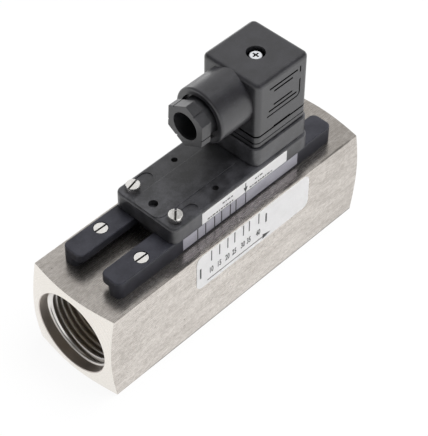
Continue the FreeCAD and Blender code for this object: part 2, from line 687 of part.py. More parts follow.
def switch_housing():
    half = HOUSING_HALF_WIDTH
    wall = HOUSING_WALL
    shell = rounded_block(HOUSING_START, HOUSING_END, -half, half, HOUSING_BASE_Z, HOUSING_TOP_Z,
                          HOUSING_CORNER)
    shell = shell.makeFillet(HOUSING_EDGE_RADIUS, top_edges(shell))
    cavity = rounded_block(HOUSING_START + wall, HOUSING_END - wall, -half + wall, half - wall,
                           HOUSING_BASE_Z - CUT_ALLOWANCE, HOUSING_CEILING_Z, HOUSING_CORNER - wall)
    shell = shell.cut(cavity)
    bosses = [rod_z(x, y, HOUSING_BASE_Z, HOUSING_CEILING_Z + THREAD_GAP, BOSS_RADIUS)
              for x, y in clamp_places()]
    bosses += [rod_z(x, y, COVER_TOP_Z, HOUSING_CEILING_Z + THREAD_GAP, COVER_BOSS_RADIUS)
               for x, y in cover_screw_places()]
    near_x = HOUSING_START + NEAR_HOLE_INSET
    bosses.append(rod_z(near_x, 0, HOUSING_TOP_Z - NEAR_HOLE_DEPTH - BOSS_WALL,
                        HOUSING_CEILING_Z + THREAD_GAP,
                        NEAR_HOLE_RADIUS + BOSS_WALL))
    shell = fuse([shell, housing_panel()] + bosses)
    above = HOUSING_TOP_Z + CUT_ALLOWANCE
    below = HOUSING_BASE_Z - CUT_ALLOWANCE
    cuts = [rod_z(near_x, 0, HOUSING_TOP_Z - NEAR_HOLE_DEPTH, above, NEAR_HOLE_RADIUS)]
    for x, y in clamp_places():
        middle = math.copysign(half - CLAMP_RECESS_SIDE_INSET, y)
        cuts.append(long_slot(x - CLAMP_RECESS_RADIUS, x + CLAMP_RECESS_LENGTH + CLAMP_RECESS_RADIUS,
                              middle - CLAMP_RECESS_RADIUS, middle + CLAMP_RECESS_RADIUS,
                              HOUSING_TOP_Z - CLAMP_RECESS_DEPTH, above))
        cuts.append(rod_z(x, y, below, above, CLAMP_SCREW_RADIUS + BASE_SCREW_CLEARANCE))
        cuts.append(rod_z(x, y, INSERT_TOP_Z - INSERT_LENGTH, INSERT_TOP_Z, INSERT_RADIUS + THREAD_GAP))
    cuts += [rod_z(x, y, below, above, COVER_SCREW_RADIUS + THREAD_GAP) for x, y in cover_screw_places()]
    cuts += [rod_z(x, y, below, above, BASE_SCREW_RADIUS + BASE_SCREW_CLEARANCE)
             for x, y in base_screw_places()]
    blade_gap = blade_slot(HOUSING_CEILING_Z - CUT_ALLOWANCE, above)
    cuts += [around_plug(blade_gap, turn) for turn in blade_turns()]
    return shell.cut(cuts)


def blade_slot(z_low, z_high):
    """The opening in the housing top and the base for one contact's tail."""
    gap = BASE_SCREW_CLEARANCE
    x = PLUG_X + BLADE_RING
    return block(x - BLADE_THICKNESS / 2 - gap, x + BLADE_THICKNESS / 2 + gap, -BLADE_TAIL_WIDTH / 2 - gap,
                 BLADE_TAIL_WIDTH / 2 + gap, z_low, z_high)


def clamp_screws():
    z_head = HOUSING_TOP_Z
    z_top = z_head + CLAMP_HEAD_HEIGHT
    screws = []
    for (x, y), turn in zip(clamp_places(), CLAMP_TURNS):
        head = rod_z(x, y, z_head, z_top, CLAMP_HEAD_RADIUS)
        head = head.makeFillet(CLAMP_HEAD_EDGE, top_edges(head))
        shank = rod_z(x, y, RAIL_TOP_Z + CLAMP_TIP_GAP, z_head + THREAD_GAP, CLAMP_SCREW_RADIUS)
        slot = slot_cut(x, y, z_top, 3 * CLAMP_HEAD_RADIUS, SCREW_SLOT_WIDTH, SCREW_SLOT_DEPTH, turn)
        screws.append(fuse([head, shank]).cut(slot))
    return Part.makeCompound(screws)


def threaded_inserts():
    inserts = []
    for x, y in clamp_places():
        z_low = INSERT_TOP_Z - INSERT_LENGTH
        hole = rod_z(x, y, z_low - CUT_ALLOWANCE, INSERT_TOP_Z + CUT_ALLOWANCE,
                     CLAMP_SCREW_RADIUS + THREAD_GAP)
        inserts.append(rod_z(x, y, z_low, INSERT_TOP_Z, INSERT_RADIUS).cut(hole))
    return Part.makeCompound(inserts)


def base_cover():
    gap = HOUSING_WALL + COVER_CLEARANCE
    half = HOUSING_HALF_WIDTH - gap
    plate = rounded_block(HOUSING_START + gap, HOUSING_END - gap, -half, half, HOUSING_BASE_Z, COVER_TOP_Z,
                          HOUSING_CORNER - HOUSING_WALL)
    foot_low = HOUSING_START + gap + FOOT_END_INSET
    foot_high = HOUSING_END - gap - FOOT_END_INSET
    neck = RAIL_INNER_Y - FOOT_SIDE_CLEARANCE
    toe = RAIL_FOOT_Y - FOOT_SIDE_CLEARANCE
    toe_top = RAIL_FLANGE_Z - FOOT_LIFT
    toe_base = RAIL_BASE_Z + FOOT_LIFT
    parts = [plate, block(foot_low, foot_high, -neck, neck, toe_base, HOUSING_BASE_Z + THREAD_GAP)]
    parts.append(block(foot_low, foot_high, -toe, toe, toe_base, toe_top))
    parts += [rod_z(x, y, COVER_TOP_Z - THREAD_GAP, HOUSING_CEILING_Z, COVER_BOSS_RADIUS)
              for x, y in base_screw_places()]
    solid = fuse(parts)
    above = HOUSING_TOP_Z
    below = HOUSING_BASE_Z - CUT_ALLOWANCE
    reach = BOSS_RADIUS + COVER_CLEARANCE
    corner = block(HOUSING_START, CLAMP_X + reach, CLAMP_Y - reach, HOUSING_HALF_WIDTH, below, above)
    cuts = [corner, corner.mirror(at(0, 0, 0), Y_AXIS)]
    cuts += [rod_z(x, y, COVER_TOP_Z - COVER_THICKNESS / 2, above, BASE_SCREW_RADIUS + THREAD_GAP)
             for x, y in base_screw_places()]
    for x, y in cover_screw_places():
        cut = countersink(x, y, -HOUSING_BASE_Z, -above, COVER_SCREW_HEAD_RADIUS, COVER_SCREW_RADIUS,
                          THREAD_GAP)
        cuts.append(cut.mirror(at(0, 0, 0), Z_AXIS))
    return solid.cut(cuts)


def cover_screws():
    tip = HOUSING_TOP_Z - COVER_SCREW_TIP_INSET
    screws = []
    for x, y in cover_screw_places():
        screw = countersunk_screw(x, y, -HOUSING_BASE_Z, -tip, COVER_SCREW_HEAD_RADIUS, COVER_SCREW_RADIUS)
        slot = slot_cut(x, y, -HOUSING_BASE_Z, 3 * COVER_SCREW_HEAD_RADIUS, SCREW_SLOT_WIDTH / 2,
                        SCREW_SLOT_DEPTH / 2, 0)
        screws.append(screw.cut(slot).mirror(at(0, 0, 0), Z_AXIS))
    return Part.makeCompound(screws)


def reed_board():
    x_low = REED_X - REED_LENGTH / 2 - REED_LEAD_LENGTH - BOARD_START_MARGIN
    x_high = HOUSING_END - BOARD_END_INSET
    board = block(x_low, x_high, -BOARD_WIDTH / 2, BOARD_WIDTH / 2, COVER_TOP_Z, BOARD_TOP_Z)
    wide = block(PLUG_X - BOARD_WIDE_LENGTH / 2, PLUG_X + BOARD_WIDE_LENGTH / 2, -BOARD_WIDE_WIDTH / 2,
                 BOARD_WIDE_WIDTH / 2, COVER_TOP_Z, BOARD_TOP_Z)
    tail = blade_tail(COVER_TOP_Z - CUT_ALLOWANCE, BOARD_TOP_Z + CUT_ALLOWANCE, BOARD_HOLE_CLEARANCE)
    return fuse([board, wide]).cut([around_plug(tail, turn) for turn in blade_turns()])


def reed_capsule():
    """The glass tube of the reed contact, lying along the flow direction."""
    x = REED_X
    z = BOARD_TOP_Z + REED_RADIUS
    tube = rod_x(x - REED_LENGTH / 2, x + REED_LENGTH / 2, 0, z, REED_RADIUS)
    hollow = REED_LENGTH / 2 - REED_RADIUS
    tube = tube.cut(rod_x(x - hollow, x + hollow, 0, z, REED_RADIUS - REED_WALL))
    lead = rod_x(x - REED_LENGTH, x + REED_LENGTH, 0, z, REED_LEAD_RADIUS + THREAD_GAP)
    return tube.cut(lead)


def reed_blades():
    """The two contact reeds with their leads, which pass out through the glass ends."""
    x = REED_X
    z = BOARD_TOP_Z + REED_RADIUS
    reach = REED_LENGTH / 2 + REED_LEAD_LENGTH
    inner = REED_LENGTH / 2 - REED_RADIUS
    blades = []
    for turn, low in ((0, REED_CONTACT_GAP / 2), (180, -REED_CONTACT_GAP / 2 - REED_BLADE_THICKNESS)):
        lead = rod_x(-reach, -inner + REED_LEAD_RADIUS, 0, 0, REED_LEAD_RADIUS)
        leg = rod_z(-reach + REED_LEAD_RADIUS, 0, -REED_RADIUS, 0, REED_LEG_RADIUS)
        reed = block(-inner, REED_BLADE_OVERLAP / 2, -REED_BLADE_WIDTH / 2, REED_BLADE_WIDTH / 2,
                     low, low + REED_BLADE_THICKNESS)
        blade = fuse([lead, leg, reed])
        blade.rotate(at(0, 0, 0), Z_AXIS, turn)
        blade.translate(at(x, 0, z))
        blades.append(blade)
    return Part.makeCompound(blades)


def housing_label():
    x_low = HOUSING_START + HOUSING_LABEL_START
    top = HOUSING_TOP_Z - HOUSING_LABEL_DROP
    return block(x_low, x_low + HOUSING_LABEL_LENGTH, -HOUSING_HALF_WIDTH - STRIP_THICKNESS,
                 -HOUSING_HALF_WIDTH,
                 top - HOUSING_LABEL_HEIGHT, top)


def blade_tail(z_low, z_high, gap):
    x = PLUG_X + BLADE_RING
    return block(x - BLADE_THICKNESS / 2 - gap, x + BLADE_THICKNESS / 2 + gap, -BLADE_TAIL_WIDTH / 2 - gap,
                 BLADE_TAIL_WIDTH / 2 + gap, z_low, z_high)


def blade_tab(z_low, z_high, gap):
    x = PLUG_X + BLADE_RING
    return block(x - BLADE_THICKNESS / 2 - gap, x + BLADE_THICKNESS / 2 + gap, -BLADE_WIDTH / 2 - gap,
                 BLADE_WIDTH / 2 + gap, z_low, z_high)


def contact_blades():
    """Four flat contacts that stand in the base, with narrow tails down to the board."""
    shoulder = HOUSING_TOP_Z + BLADE_SHOULDER
    tip = BASE_TOP_Z + BLADE_RISE
    tab = blade_tab(shoulder, tip, 0)
    corners = [edge for edge in top_edges(tab) if edge.BoundBox.YLength < 1e-4]
    tab = tab.makeChamfer(BLADE_TIP_CHAMFER, corners)
    blade = fuse([tab, blade_tail(COVER_TOP_Z, shoulder + THREAD_GAP, 0)])
    return Part.makeCompound([around_plug(blade, turn) for turn in blade_turns()])


def connector_base():
    solid = square_block(BASE_SIDE, HOUSING_TOP_Z, BASE_TOP_Z, BASE_CORNER)
    solid = solid.makeChamfer(BASE_EDGE, top_edges(solid))
    foot = [edge for edge in solid.Edges if edge.BoundBox.ZMax < HOUSING_TOP_Z + 1e-4]
    solid = solid.makeChamfer(BASE_FOOT_EDGE, foot)
    above = BASE_TOP_Z + CUT_ALLOWANCE
    below = HOUSING_TOP_Z - CUT_ALLOWANCE
    shoulder = HOUSING_TOP_Z + BLADE_SHOULDER
    slots = [blade_tab(shoulder, above, BLADE_FIT), blade_tail(below, above, BLADE_FIT)]
    cuts = [around_plug(slot, turn) for slot in slots for turn in blade_turns()]
    cuts += [countersink(x, y, BASE_TOP_Z, below, BASE_SCREW_HEAD_RADIUS, BASE_SCREW_RADIUS,
                         BASE_SCREW_CLEARANCE)
             for x, y in base_screw_places()]
    cuts.append(rod_z(PLUG_X, 0, BASE_TOP_Z - HOOD_SCREW_REACH - CUT_ALLOWANCE, above,
                      HOOD_SCREW_RADIUS + HOOD_SCREW_CLEARANCE))
    return solid.cut(cuts)


def base_screws():
    tip = COVER_TOP_Z - COVER_THICKNESS / 2 + THREAD_GAP
    screws = []
    for x, y in base_screw_places():
        screw = countersunk_screw(x, y, BASE_TOP_Z, tip, BASE_SCREW_HEAD_RADIUS, BASE_SCREW_RADIUS)
        slot = slot_cut(x, y, BASE_TOP_Z, 3 * BASE_SCREW_HEAD_RADIUS, SCREW_SLOT_WIDTH / 2,
                        SCREW_SLOT_DEPTH / 2, 45)
        screws.append(screw.cut(slot))
    return Part.makeCompound(screws)


def profile_gasket():
    outer = square_block(GASKET_SIDE, BASE_TOP_Z, GASKET_TOP_Z, HOOD_CORNER)
    return outer.cut(square_block(GASKET_OPENING, BASE_TOP_Z - CUT_ALLOWANCE, GASKET_TOP_Z + CUT_ALLOWANCE,
                                  HOOD_CAVITY_CORNER))


def hood_grooves():
    """The two lines around the hood's foot and the latch windows above the upper one."""
    inner = HOOD_SIDE - 2 * HOOD_GROOVE_DEPTH
    core = square_block(inner, GASKET_TOP_Z, HOOD_TOP_Z, HOOD_CORNER - HOOD_GROOVE_DEPTH)
    cuts = []
    for height, width in zip(HOOD_GROOVE_HEIGHTS, HOOD_GROOVE_WIDTHS):
        low = GASKET_TOP_Z + height
        cuts.append(square_block(HOOD_SIDE + 2 * CUT_ALLOWANCE, low, low + width, HOOD_CORNER).cut(core))
    low = GASKET_TOP_Z + HOOD_GROOVE_HEIGHTS[-1]
    window = block(PLUG_X - LATCH_LENGTH / 2, PLUG_X + LATCH_LENGTH / 2, -HOOD_SIDE, HOOD_SIDE, low,
                   low + LATCH_HEIGHT)
    return cuts + [window.cut(core)]


def hood_lines():
    """Two pairs of engraved lines on the hood's label side, above and below a bare field."""
    front = -HOOD_SIDE / 2
    half = HOOD_LINE_WIDTH / 2
    middle = HOOD_TOP_Z - HOOD_LINE_DROP
    lines = []
    for offset, length in zip(HOOD_LINE_OFFSETS, HOOD_LINE_LENGTHS):
        for z in (middle - offset, middle + offset):
            lines.append(block(PLUG_X - length / 2, PLUG_X + length / 2, front - CUT_ALLOWANCE,
                               front + HOOD_LINE_DEPTH, z - half, z + half))
    return lines


def frame_plate(margin, extra):
    """A plate in the hood's label side with one round corner, on one side of the frame line."""
    front = -HOOD_SIDE / 2
    x = PLUG_X + HOOD_FRAME_REACH + margin
    z = HOOD_TOP_Z - HOOD_FRAME_DROP - margin
    plate = block(x - HOOD_FRAME_LENGTH - extra, x, front - CUT_ALLOWANCE, front + HOOD_LINE_DEPTH, z,
                  z + HOOD_FRAME_HEIGHT + extra)
    corner = [edge for edge in plate.Edges
              if edge.BoundBox.XMin > x - 1e-4 and edge.BoundBox.ZMax < z + 1e-4]
    return plate.makeFillet(HOOD_FRAME_CORNER + margin, corner)


def hood_frame():
    """The engraved frame line below and beside the lines, with a gap in its upright."""
    front = -HOOD_SIDE / 2
    half = HOOD_FRAME_WIDTH / 2
    x = PLUG_X + HOOD_FRAME_REACH
    z = HOOD_TOP_Z - HOOD_FRAME_DROP + HOOD_FRAME_HEIGHT + HOOD_FRAME_GAP
    tip = block(x - half, x + half, front - CUT_ALLOWANCE, front + HOOD_LINE_DEPTH, z, z + HOOD_FRAME_TIP)
    return [frame_plate(half, 0).cut(frame_plate(-half, CUT_ALLOWANCE)), tip]


def plug_hood():
    shell = square_block(HOOD_SIDE, GASKET_TOP_Z, HOOD_TOP_Z, HOOD_CORNER)
    shell = shell.makeFillet(HOOD_TOP_RADIUS, top_edges(shell))
    neck = rod_x(NECK_END_X, HOOD_FRONT_X + HOOD_WALL, 0, GLAND_Z, NECK_RADIUS)
    rim = [edge for edge in neck.Edges if edge.BoundBox.XMax < NECK_END_X + 1e-4]
    shell = fuse([shell, neck.makeFillet(NECK_RIM_RADIUS, rim)])
    cavity = square_block(HOOD_CAVITY_SIDE, GASKET_TOP_Z - CUT_ALLOWANCE, HOOD_CEILING_Z,
                          HOOD_CAVITY_CORNER)
    column = rod_z(PLUG_X, 0, BLOCK_TOP_Z, HOOD_CEILING_Z + CUT_ALLOWANCE, HOOD_COLUMN_RADIUS)
    cuts = [cavity.cut(column)] + hood_grooves() + hood_lines() + hood_frame()
    cuts.append(rod_z(PLUG_X, 0, RECESS_FLOOR_Z, HOOD_TOP_Z + CUT_ALLOWANCE, HOOD_RECESS_RADIUS))
    cuts.append(rod_z(PLUG_X, 0, GASKET_TOP_Z, HOOD_TOP_Z, HOOD_SCREW_RADIUS + BASE_SCREW_CLEARANCE))
    cuts.append(rod_x(NECK_END_X - CUT_ALLOWANCE, NECK_END_X + NECK_RECESS_DEPTH, 0, GLAND_Z,
                      NECK_RECESS_RADIUS))
    cuts.append(rod_x(NECK_END_X, GLAND_SHOULDER_X, 0, GLAND_Z, GLAND_BORE_RADIUS))
    cuts.append(rod_x(NECK_END_X, HOOD_FRONT_X + HOOD_WALL + CUT_ALLOWANCE, 0, GLAND_Z,
                      GLAND_SHOULDER_RADIUS))
    return shell.cut(cuts)


def socket_body(gap):
    x_high = PLUG_X + BLADE_RING + SOCKET_OUTSET + gap
    half = SOCKET_WIDTH / 2 + gap
    return block(x_high - SOCKET_DEPTH - 2 * gap, x_high, -half, half, SOCKET_BASE_Z - gap, SOCKET_TOP_Z)


def terminal_screw_x():
    return PLUG_X + BLADE_RING + SOCKET_OUTSET - SOCKET_DEPTH + TERMINAL_SCREW_INSET


def terminal_block():
    side = HOOD_CAVITY_SIDE - 2 * BLOCK_CLEARANCE
    solid = square_block(side, BLOCK_BASE_Z, BLOCK_TOP_Z, HOOD_CAVITY_CORNER)
    above = BLOCK_TOP_Z + CUT_ALLOWANCE
    below = BLOCK_BASE_Z - CUT_ALLOWANCE
    well = rod_z(terminal_screw_x(), 0, SOCKET_TOP_Z - CUT_ALLOWANCE, above,
                 TERMINAL_SCREW_HEAD_RADIUS + BASE_SCREW_CLEARANCE)
    entry = blade_tab(below, SOCKET_BASE_Z + CUT_ALLOWANCE, SOCKET_BLADE_GAP)
    hollows = (well, entry, socket_body(THREAD_GAP))
    cuts = [around_plug(cut, turn) for cut in hollows for turn in blade_turns()]
    cuts.append(rod_z(PLUG_X, 0, below, above, HOOD_SCREW_RADIUS + BASE_SCREW_CLEARANCE))
    return solid.cut(cuts)


def terminal_sockets():
    blade = blade_tab(SOCKET_BASE_Z - CUT_ALLOWANCE, BASE_TOP_Z + BLADE_RISE + CUT_ALLOWANCE,
                      SOCKET_BLADE_GAP)
    hole = rod_z(terminal_screw_x(), 0, SOCKET_TOP_Z - TERMINAL_SCREW_LENGTH - THREAD_GAP,
                 SOCKET_TOP_Z + CUT_ALLOWANCE,
                 TERMINAL_SCREW_RADIUS + THREAD_GAP)
    socket = socket_body(0).cut([blade, hole])
    return Part.makeCompound([around_plug(socket, turn) for turn in blade_turns()])


def terminal_screws():
    x = terminal_screw_x()
    z_top = SOCKET_TOP_Z + TERMINAL_SCREW_HEAD_HEIGHT
    head = rod_z(x, 0, SOCKET_TOP_Z, z_top, TERMINAL_SCREW_HEAD_RADIUS)
    shank = rod_z(x, 0, SOCKET_TOP_Z - TERMINAL_SCREW_LENGTH, SOCKET_TOP_Z + THREAD_GAP,
                  TERMINAL_SCREW_RADIUS)
    slot = slot_cut(x, 0, z_top, 3 * TERMINAL_SCREW_HEAD_RADIUS, SCREW_SLOT_WIDTH / 2, SCREW_SLOT_DEPTH / 2,
                    TERMINAL_SCREW_TURN)
    screw = fuse([head, shank]).cut(slot)
    return Part.makeCompound([around_plug(screw, turn) for turn in blade_turns()])


def hood_screw():
    z_top = HOOD_SCREW_SEAT_Z + HOOD_SCREW_HEAD_HEIGHT
    head = rod_z(PLUG_X, 0, HOOD_SCREW_SEAT_Z, z_top, HOOD_SCREW_HEAD_RADIUS)
    head = head.makeFillet(HOOD_SCREW_HEAD_HEIGHT / 4, top_edges(head))
    shank = rod_z(PLUG_X, 0, BASE_TOP_Z - HOOD_SCREW_REACH, HOOD_SCREW_SEAT_Z + THREAD_GAP,
                  HOOD_SCREW_RADIUS)
    cross = [slot_cut(PLUG_X, 0, z_top, CROSS_LENGTH, CROSS_WIDTH, CROSS_DEPTH, turn) for turn in (0, 90)]
    return fuse([head, shank]).cut(cross)


def hood_screw_seal():
    hole = rod_z(PLUG_X, 0, RECESS_FLOOR_Z - CUT_ALLOWANCE, HOOD_SCREW_SEAT_Z + CUT_ALLOWANCE,
                 HOOD_SCREW_RADIUS + THREAD_GAP)
    return rod_z(PLUG_X, 0, RECESS_FLOOR_Z, HOOD_SCREW_SEAT_Z, SCREW_SEAL_RADIUS).cut(hole)


def gland_nut():
    """A hexagon with a narrow groove along each flat, and a round spigot."""
    corner = NUT_ACROSS_FLATS / math.sqrt(3)
    points = [at(NUT_END_X, corner * math.cos(turn), GLAND_Z + corner * math.sin(turn))
              for turn in (math.radians(30 + 60 * index) for index in range(6))]
    hexagon = Part.Face(Part.makePolygon(points + points[:1])).extrude(at(NUT_HEX_LENGTH, 0, 0))
    corners = [edge for edge in hexagon.Edges if edge.BoundBox.XLength > NUT_HEX_LENGTH / 2]
    hexagon = hexagon.makeFillet(NUT_CORNER_RADIUS, corners)
    flat = NUT_ACROSS_FLATS / 2
    grooves = []
    for index, shift in enumerate(NUT_GROOVE_SHIFTS):
        groove = block(NUT_END_X - CUT_ALLOWANCE, NUT_HEX_END_X + CUT_ALLOWANCE,
                       flat - NUT_GROOVE_DEPTH, flat + CUT_ALLOWANCE,
                       shift - NUT_GROOVE_WIDTH / 2, shift + NUT_GROOVE_WIDTH / 2)
        groove.translate(at(0, 0, GLAND_Z))
        groove.rotate(at(0, 0, GLAND_Z), X_AXIS, 60 * index)
        grooves.append(groove)
    spigot = rod_x(NUT_HEX_END_X - THREAD_GAP, SPIGOT_END_X, 0, GLAND_Z, GLAND_BORE_RADIUS - GLAND_BORE_GAP)
    bore = rod_x(NUT_END_X - CUT_ALLOWANCE, SPIGOT_END_X + CUT_ALLOWANCE, 0, GLAND_Z, NUT_BORE_RADIUS)
    nut = fuse([hexagon.cut(grooves), spigot]).cut(bore)
    nut.rotate(at(0, 0, GLAND_Z), X_AXIS, NUT_TURN)
    return nut


def gland_washer():
    return tube_x(SPIGOT_END_X, SPIGOT_END_X + WASHER_THICKNESS, GLAND_Z,
                  GLAND_BORE_RADIUS - GLAND_BORE_GAP, NUT_BORE_RADIUS)


def gland_grommet():
    return tube_x(SPIGOT_END_X + WASHER_THICKNESS, GLAND_SHOULDER_X, GLAND_Z,
                  GLAND_BORE_RADIUS - GLAND_BORE_GAP,
                  GROMMET_BORE_RADIUS)


PIECES = {
    "flow_body": flow_body,
    "rail_left": lambda: rail(1),
    "rail_right": lambda: rail(-1),
    "rail_screws": rail_screws,
    "scale_strip": scale_strip,
    "flow_label": flow_label,
    "slotted_nozzle": slotted_nozzle,
    "inlet_ring": inlet_ring,
    "spring_seat": spring_seat,
    "seat_ring": seat_ring,
    "float_body": float_body,
    "float_magnet": float_magnet,
    "magnet_plug": magnet_plug,
    "return_spring": return_spring,
    "switch_housing": switch_housing,
    "housing_label": housing_label,
    "clamp_screws": clamp_screws,
    "threaded_inserts": threaded_inserts,
    "base_cover": base_cover,
    "cover_screws": cover_screws,
    "reed_board": reed_board,
    "reed_capsule": reed_capsule,
    "reed_blades": reed_blades,
    "connector_base": connector_base,
    "base_screws": base_screws,
    "contact_blades": contact_blades,
    "profile_gasket": profile_gasket,
    "plug_hood": plug_hood,
    "terminal_block": terminal_block,
    "terminal_sockets": terminal_sockets,
    "terminal_screws": terminal_screws,
    "hood_screw": hood_screw,
    "hood_screw_seal": hood_screw_seal,
    "gland_nut": gland_nut,
    "gland_washer": gland_washer,
    "gland_grommet": gland_grommet,
}

os.makedirs("parts", exist_ok=True)
for name, make in PIECES.items():
    make().exportStep("parts/" + name + ".step")
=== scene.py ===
"""Looks of a variable area flow switch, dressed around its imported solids."""
import json
import logging
import math
from dataclasses import dataclass, field
from enum import Enum
from typing import Any, Optional, Sequence, Union

import bmesh
import bpy
import numpy as np
from mathutils import Matrix, Vector


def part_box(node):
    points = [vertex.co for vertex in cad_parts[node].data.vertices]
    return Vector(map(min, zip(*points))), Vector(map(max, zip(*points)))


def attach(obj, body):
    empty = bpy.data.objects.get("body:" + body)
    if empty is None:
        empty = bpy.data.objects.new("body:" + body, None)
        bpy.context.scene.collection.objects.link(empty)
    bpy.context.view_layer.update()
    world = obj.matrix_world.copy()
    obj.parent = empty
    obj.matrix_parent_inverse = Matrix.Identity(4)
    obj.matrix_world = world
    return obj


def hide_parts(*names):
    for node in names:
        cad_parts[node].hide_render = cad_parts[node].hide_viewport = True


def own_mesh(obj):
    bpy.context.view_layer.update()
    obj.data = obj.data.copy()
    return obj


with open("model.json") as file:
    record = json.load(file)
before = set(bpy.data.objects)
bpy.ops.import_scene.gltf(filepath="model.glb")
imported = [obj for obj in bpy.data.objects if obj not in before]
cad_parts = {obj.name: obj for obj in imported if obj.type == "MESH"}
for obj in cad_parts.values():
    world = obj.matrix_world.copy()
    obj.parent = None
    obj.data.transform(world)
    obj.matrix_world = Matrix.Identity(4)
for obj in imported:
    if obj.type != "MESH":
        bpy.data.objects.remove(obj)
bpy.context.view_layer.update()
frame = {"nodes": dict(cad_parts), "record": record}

MM = 0.001
BAR_AXIS_Z = 20.0
LOG = logging.getLogger("flow_switch")

Span = tuple[float, float]
Triple = tuple[float, float, float]
Colour = Triple
Bar = tuple[float, float, float, float]
Term = Union["Wire", float]
Sockets = dict[str, Any]
Rows = list[tuple[np.ndarray, np.ndarray]]

WELD = 2e-7
WHITE = (1.0, 1.0, 1.0, 1.0)
# Near-black colour of the painted shade in the hood's engraved lines and in the screw slots.
SHADE_COLOUR: Colour = (0.035, 0.033, 0.03)


@dataclass(frozen=True)
class Grain:
    """A noise: waves per millimetre along each axis, number of finer layers, their strength."""

    waves: Triple
    layers: float = 3.0
    strength: float = 0.5


class Wire:
    """One output of a shader tree; arithmetic on it adds Math nodes."""

    def __init__(self, tree: "ShaderTree", socket: bpy.types.NodeSocket) -> None:
        """Keeps the tree and the socket."""
        self.tree = tree
        self.socket = socket

    def maths(self, operation: str, *terms: Term) -> "Wire":
        """Adds one Math node over the given terms."""
        return self.tree.node("ShaderNodeMath", {"operation": operation}, dict(enumerate(terms)))

    def __add__(self, other: Term) -> "Wire":
        """Sum."""
        return self.maths("ADD", self, other)

    def __sub__(self, other: Term) -> "Wire":
        """Difference."""
        return self.maths("SUBTRACT", self, other)

    def __rsub__(self, other: Term) -> "Wire":
        """Reflected difference, so that 1 - mask works."""
        return self.maths("SUBTRACT", other, self)

    def __mul__(self, other: Term) -> "Wire":
        """Product."""
        return self.maths("MULTIPLY", self, other)

    def __pow__(self, other: Term) -> "Wire":
        """Power."""
        return self.maths("POWER", self, other)

    def __abs__(self) -> "Wire":
        """Size without sign."""
        return self.maths("ABSOLUTE", self)

    __radd__ = __add__
    __rmul__ = __mul__

    def wave(self) -> "Wire":
        """Sine of the value."""
        return self.maths("SINE", self)

    def larger(self, other: Term) -> "Wire":
        """The larger of two values."""
        return self.maths("MAXIMUM", self, other)

    def swing(self) -> "Wire":
        """The value less a half, so that a noise swings about zero."""
        return self - 0.5

    def ramp(self, low: float, high: float) -> "Wire":
        """A smooth step from 0 at low to 1 at high.

        Args:
            low: Value that gives 0.
            high: Value that gives 1.

        Returns:
            The stepped value.
        """
        settings = {"interpolation_type": "SMOOTHSTEP", "clamp": True}
        return self.tree.node("ShaderNodeMapRange", settings,
                              {"Value": self, "From Min": low, "From Max": high})


class ShaderTree:
    """The nodes of one material or world, all added by one method."""

    def __init__(self, holder: Union[bpy.types.Material, bpy.types.World]) -> None:
        """Clears the holder's nodes.

        Args:
            holder: Material or world that takes the nodes.
        """
        self.holder = holder
        holder.use_nodes = True
        self.nodes = holder.node_tree.nodes
        self.links = holder.node_tree.links
        self.nodes.clear()

    @classmethod
    def named(cls, name: str) -> "ShaderTree":
        """The empty tree of a new material."""
        return cls(bpy.data.materials.new(name))

    def node(self, kind: str, settings: Optional[dict[str, Any]] = None,
             inputs: Optional[dict[Any, Any]] = None, output: Any = 0) -> Wire:
        """Adds a node, sets its options, then fills or links its sockets.

        Args:
            kind: Node type.
            settings: Options set first.
            inputs: Socket index or name to a number, a colour or a Wire.
            output: Index or name of the output that is handed back.

        Returns:
            The chosen output.
        """
        item = self.nodes.new(kind)
        for key, value in (settings or {}).items():
            setattr(item, key, value)
        for key, value in (inputs or {}).items():
            if isinstance(value, Wire):
                self.links.new(value.socket, item.inputs[key])
            else:
                item.inputs[key].default_value = value
        return Wire(self, item.outputs[output]) if item.outputs else Wire(self, None)

    def place(self) -> Wire:
        """The point on the piece in millimetres, as a vector."""
        point = self.node("ShaderNodeTexCoord", output="Object")
        return self.node("ShaderNodeVectorMath", {"operation": "SCALE"}, {0: point, "Scale": 1 / MM})

    def axes(self, vector: Wire) -> tuple[Wire, Wire, Wire]:
        """The three components of a vector."""
        outputs = self.node("ShaderNodeSeparateXYZ", inputs={0: vector}).socket.node.outputs
        return tuple(Wire(self, output) for output in outputs)

    def ray(self, kind: str) -> Wire:
        """1 for light rays of one kind, such as Camera, else 0."""
        return self.node("ShaderNodeLightPath", output=f"Is {kind} Ray")

    def noise(self, vector: Wire, grain: Grain) -> Wire:
        """Noise of a value around a half, over a point that is first stretched along each axis."""
        scaled = self.node("ShaderNodeVectorMath", {"operation": "MULTIPLY"}, {0: vector, 1: grain.waves})
        return self.node("ShaderNodeTexNoise", None, {"Vector": scaled, "Scale": 1.0,
                                                      "Detail": grain.layers, "Roughness": grain.strength})

    def line_noise(self, value: Wire, detail: float = 3.0) -> Wire:
        """Noise along one number, as a lathe leaves rings."""
        return self.node("ShaderNodeTexNoise", {"noise_dimensions": "1D"},
                         {"W": value, "Scale": 1.0, "Detail": detail})

    def blend(self, factor: Term, first: Any, second: Any) -> Wire:
        """Mixes two colours."""
        pair = [(*c, 1.0) if isinstance(c, tuple) else c for c in (first, second)]
        return self.node("ShaderNodeMix", {"data_type": "RGBA"}, {0: factor, 6: pair[0], 7: pair[1]}, 2)

    def bump(self, height: Wire, depth_mm: float) -> Wire:
        """A surface normal from a height of that many millimetres."""
        return self.node("ShaderNodeBump", None,
                         {"Height": height, "Distance": depth_mm * MM, "Strength": 1.0})

    def surface(self, sockets: Sockets) -> bpy.types.Material:
        """Ends the tree in a Principled shader.

        Args:
            sockets: Names of its sockets, each with a value or a link.

        Returns:
            The finished material.
        """
        shader = self.node("ShaderNodeBsdfPrincipled", None, sockets)
        self.node("ShaderNodeOutputMaterial", None, {"Surface": shader})
        return self.holder


def weighed(weights: Sequence[float], *wires: Wire) -> Wire:
    """Sum of the values, each times its weight."""
    first, *others = [wire * weight for weight, wire in zip(weights, wires)]
    return sum(others, first)


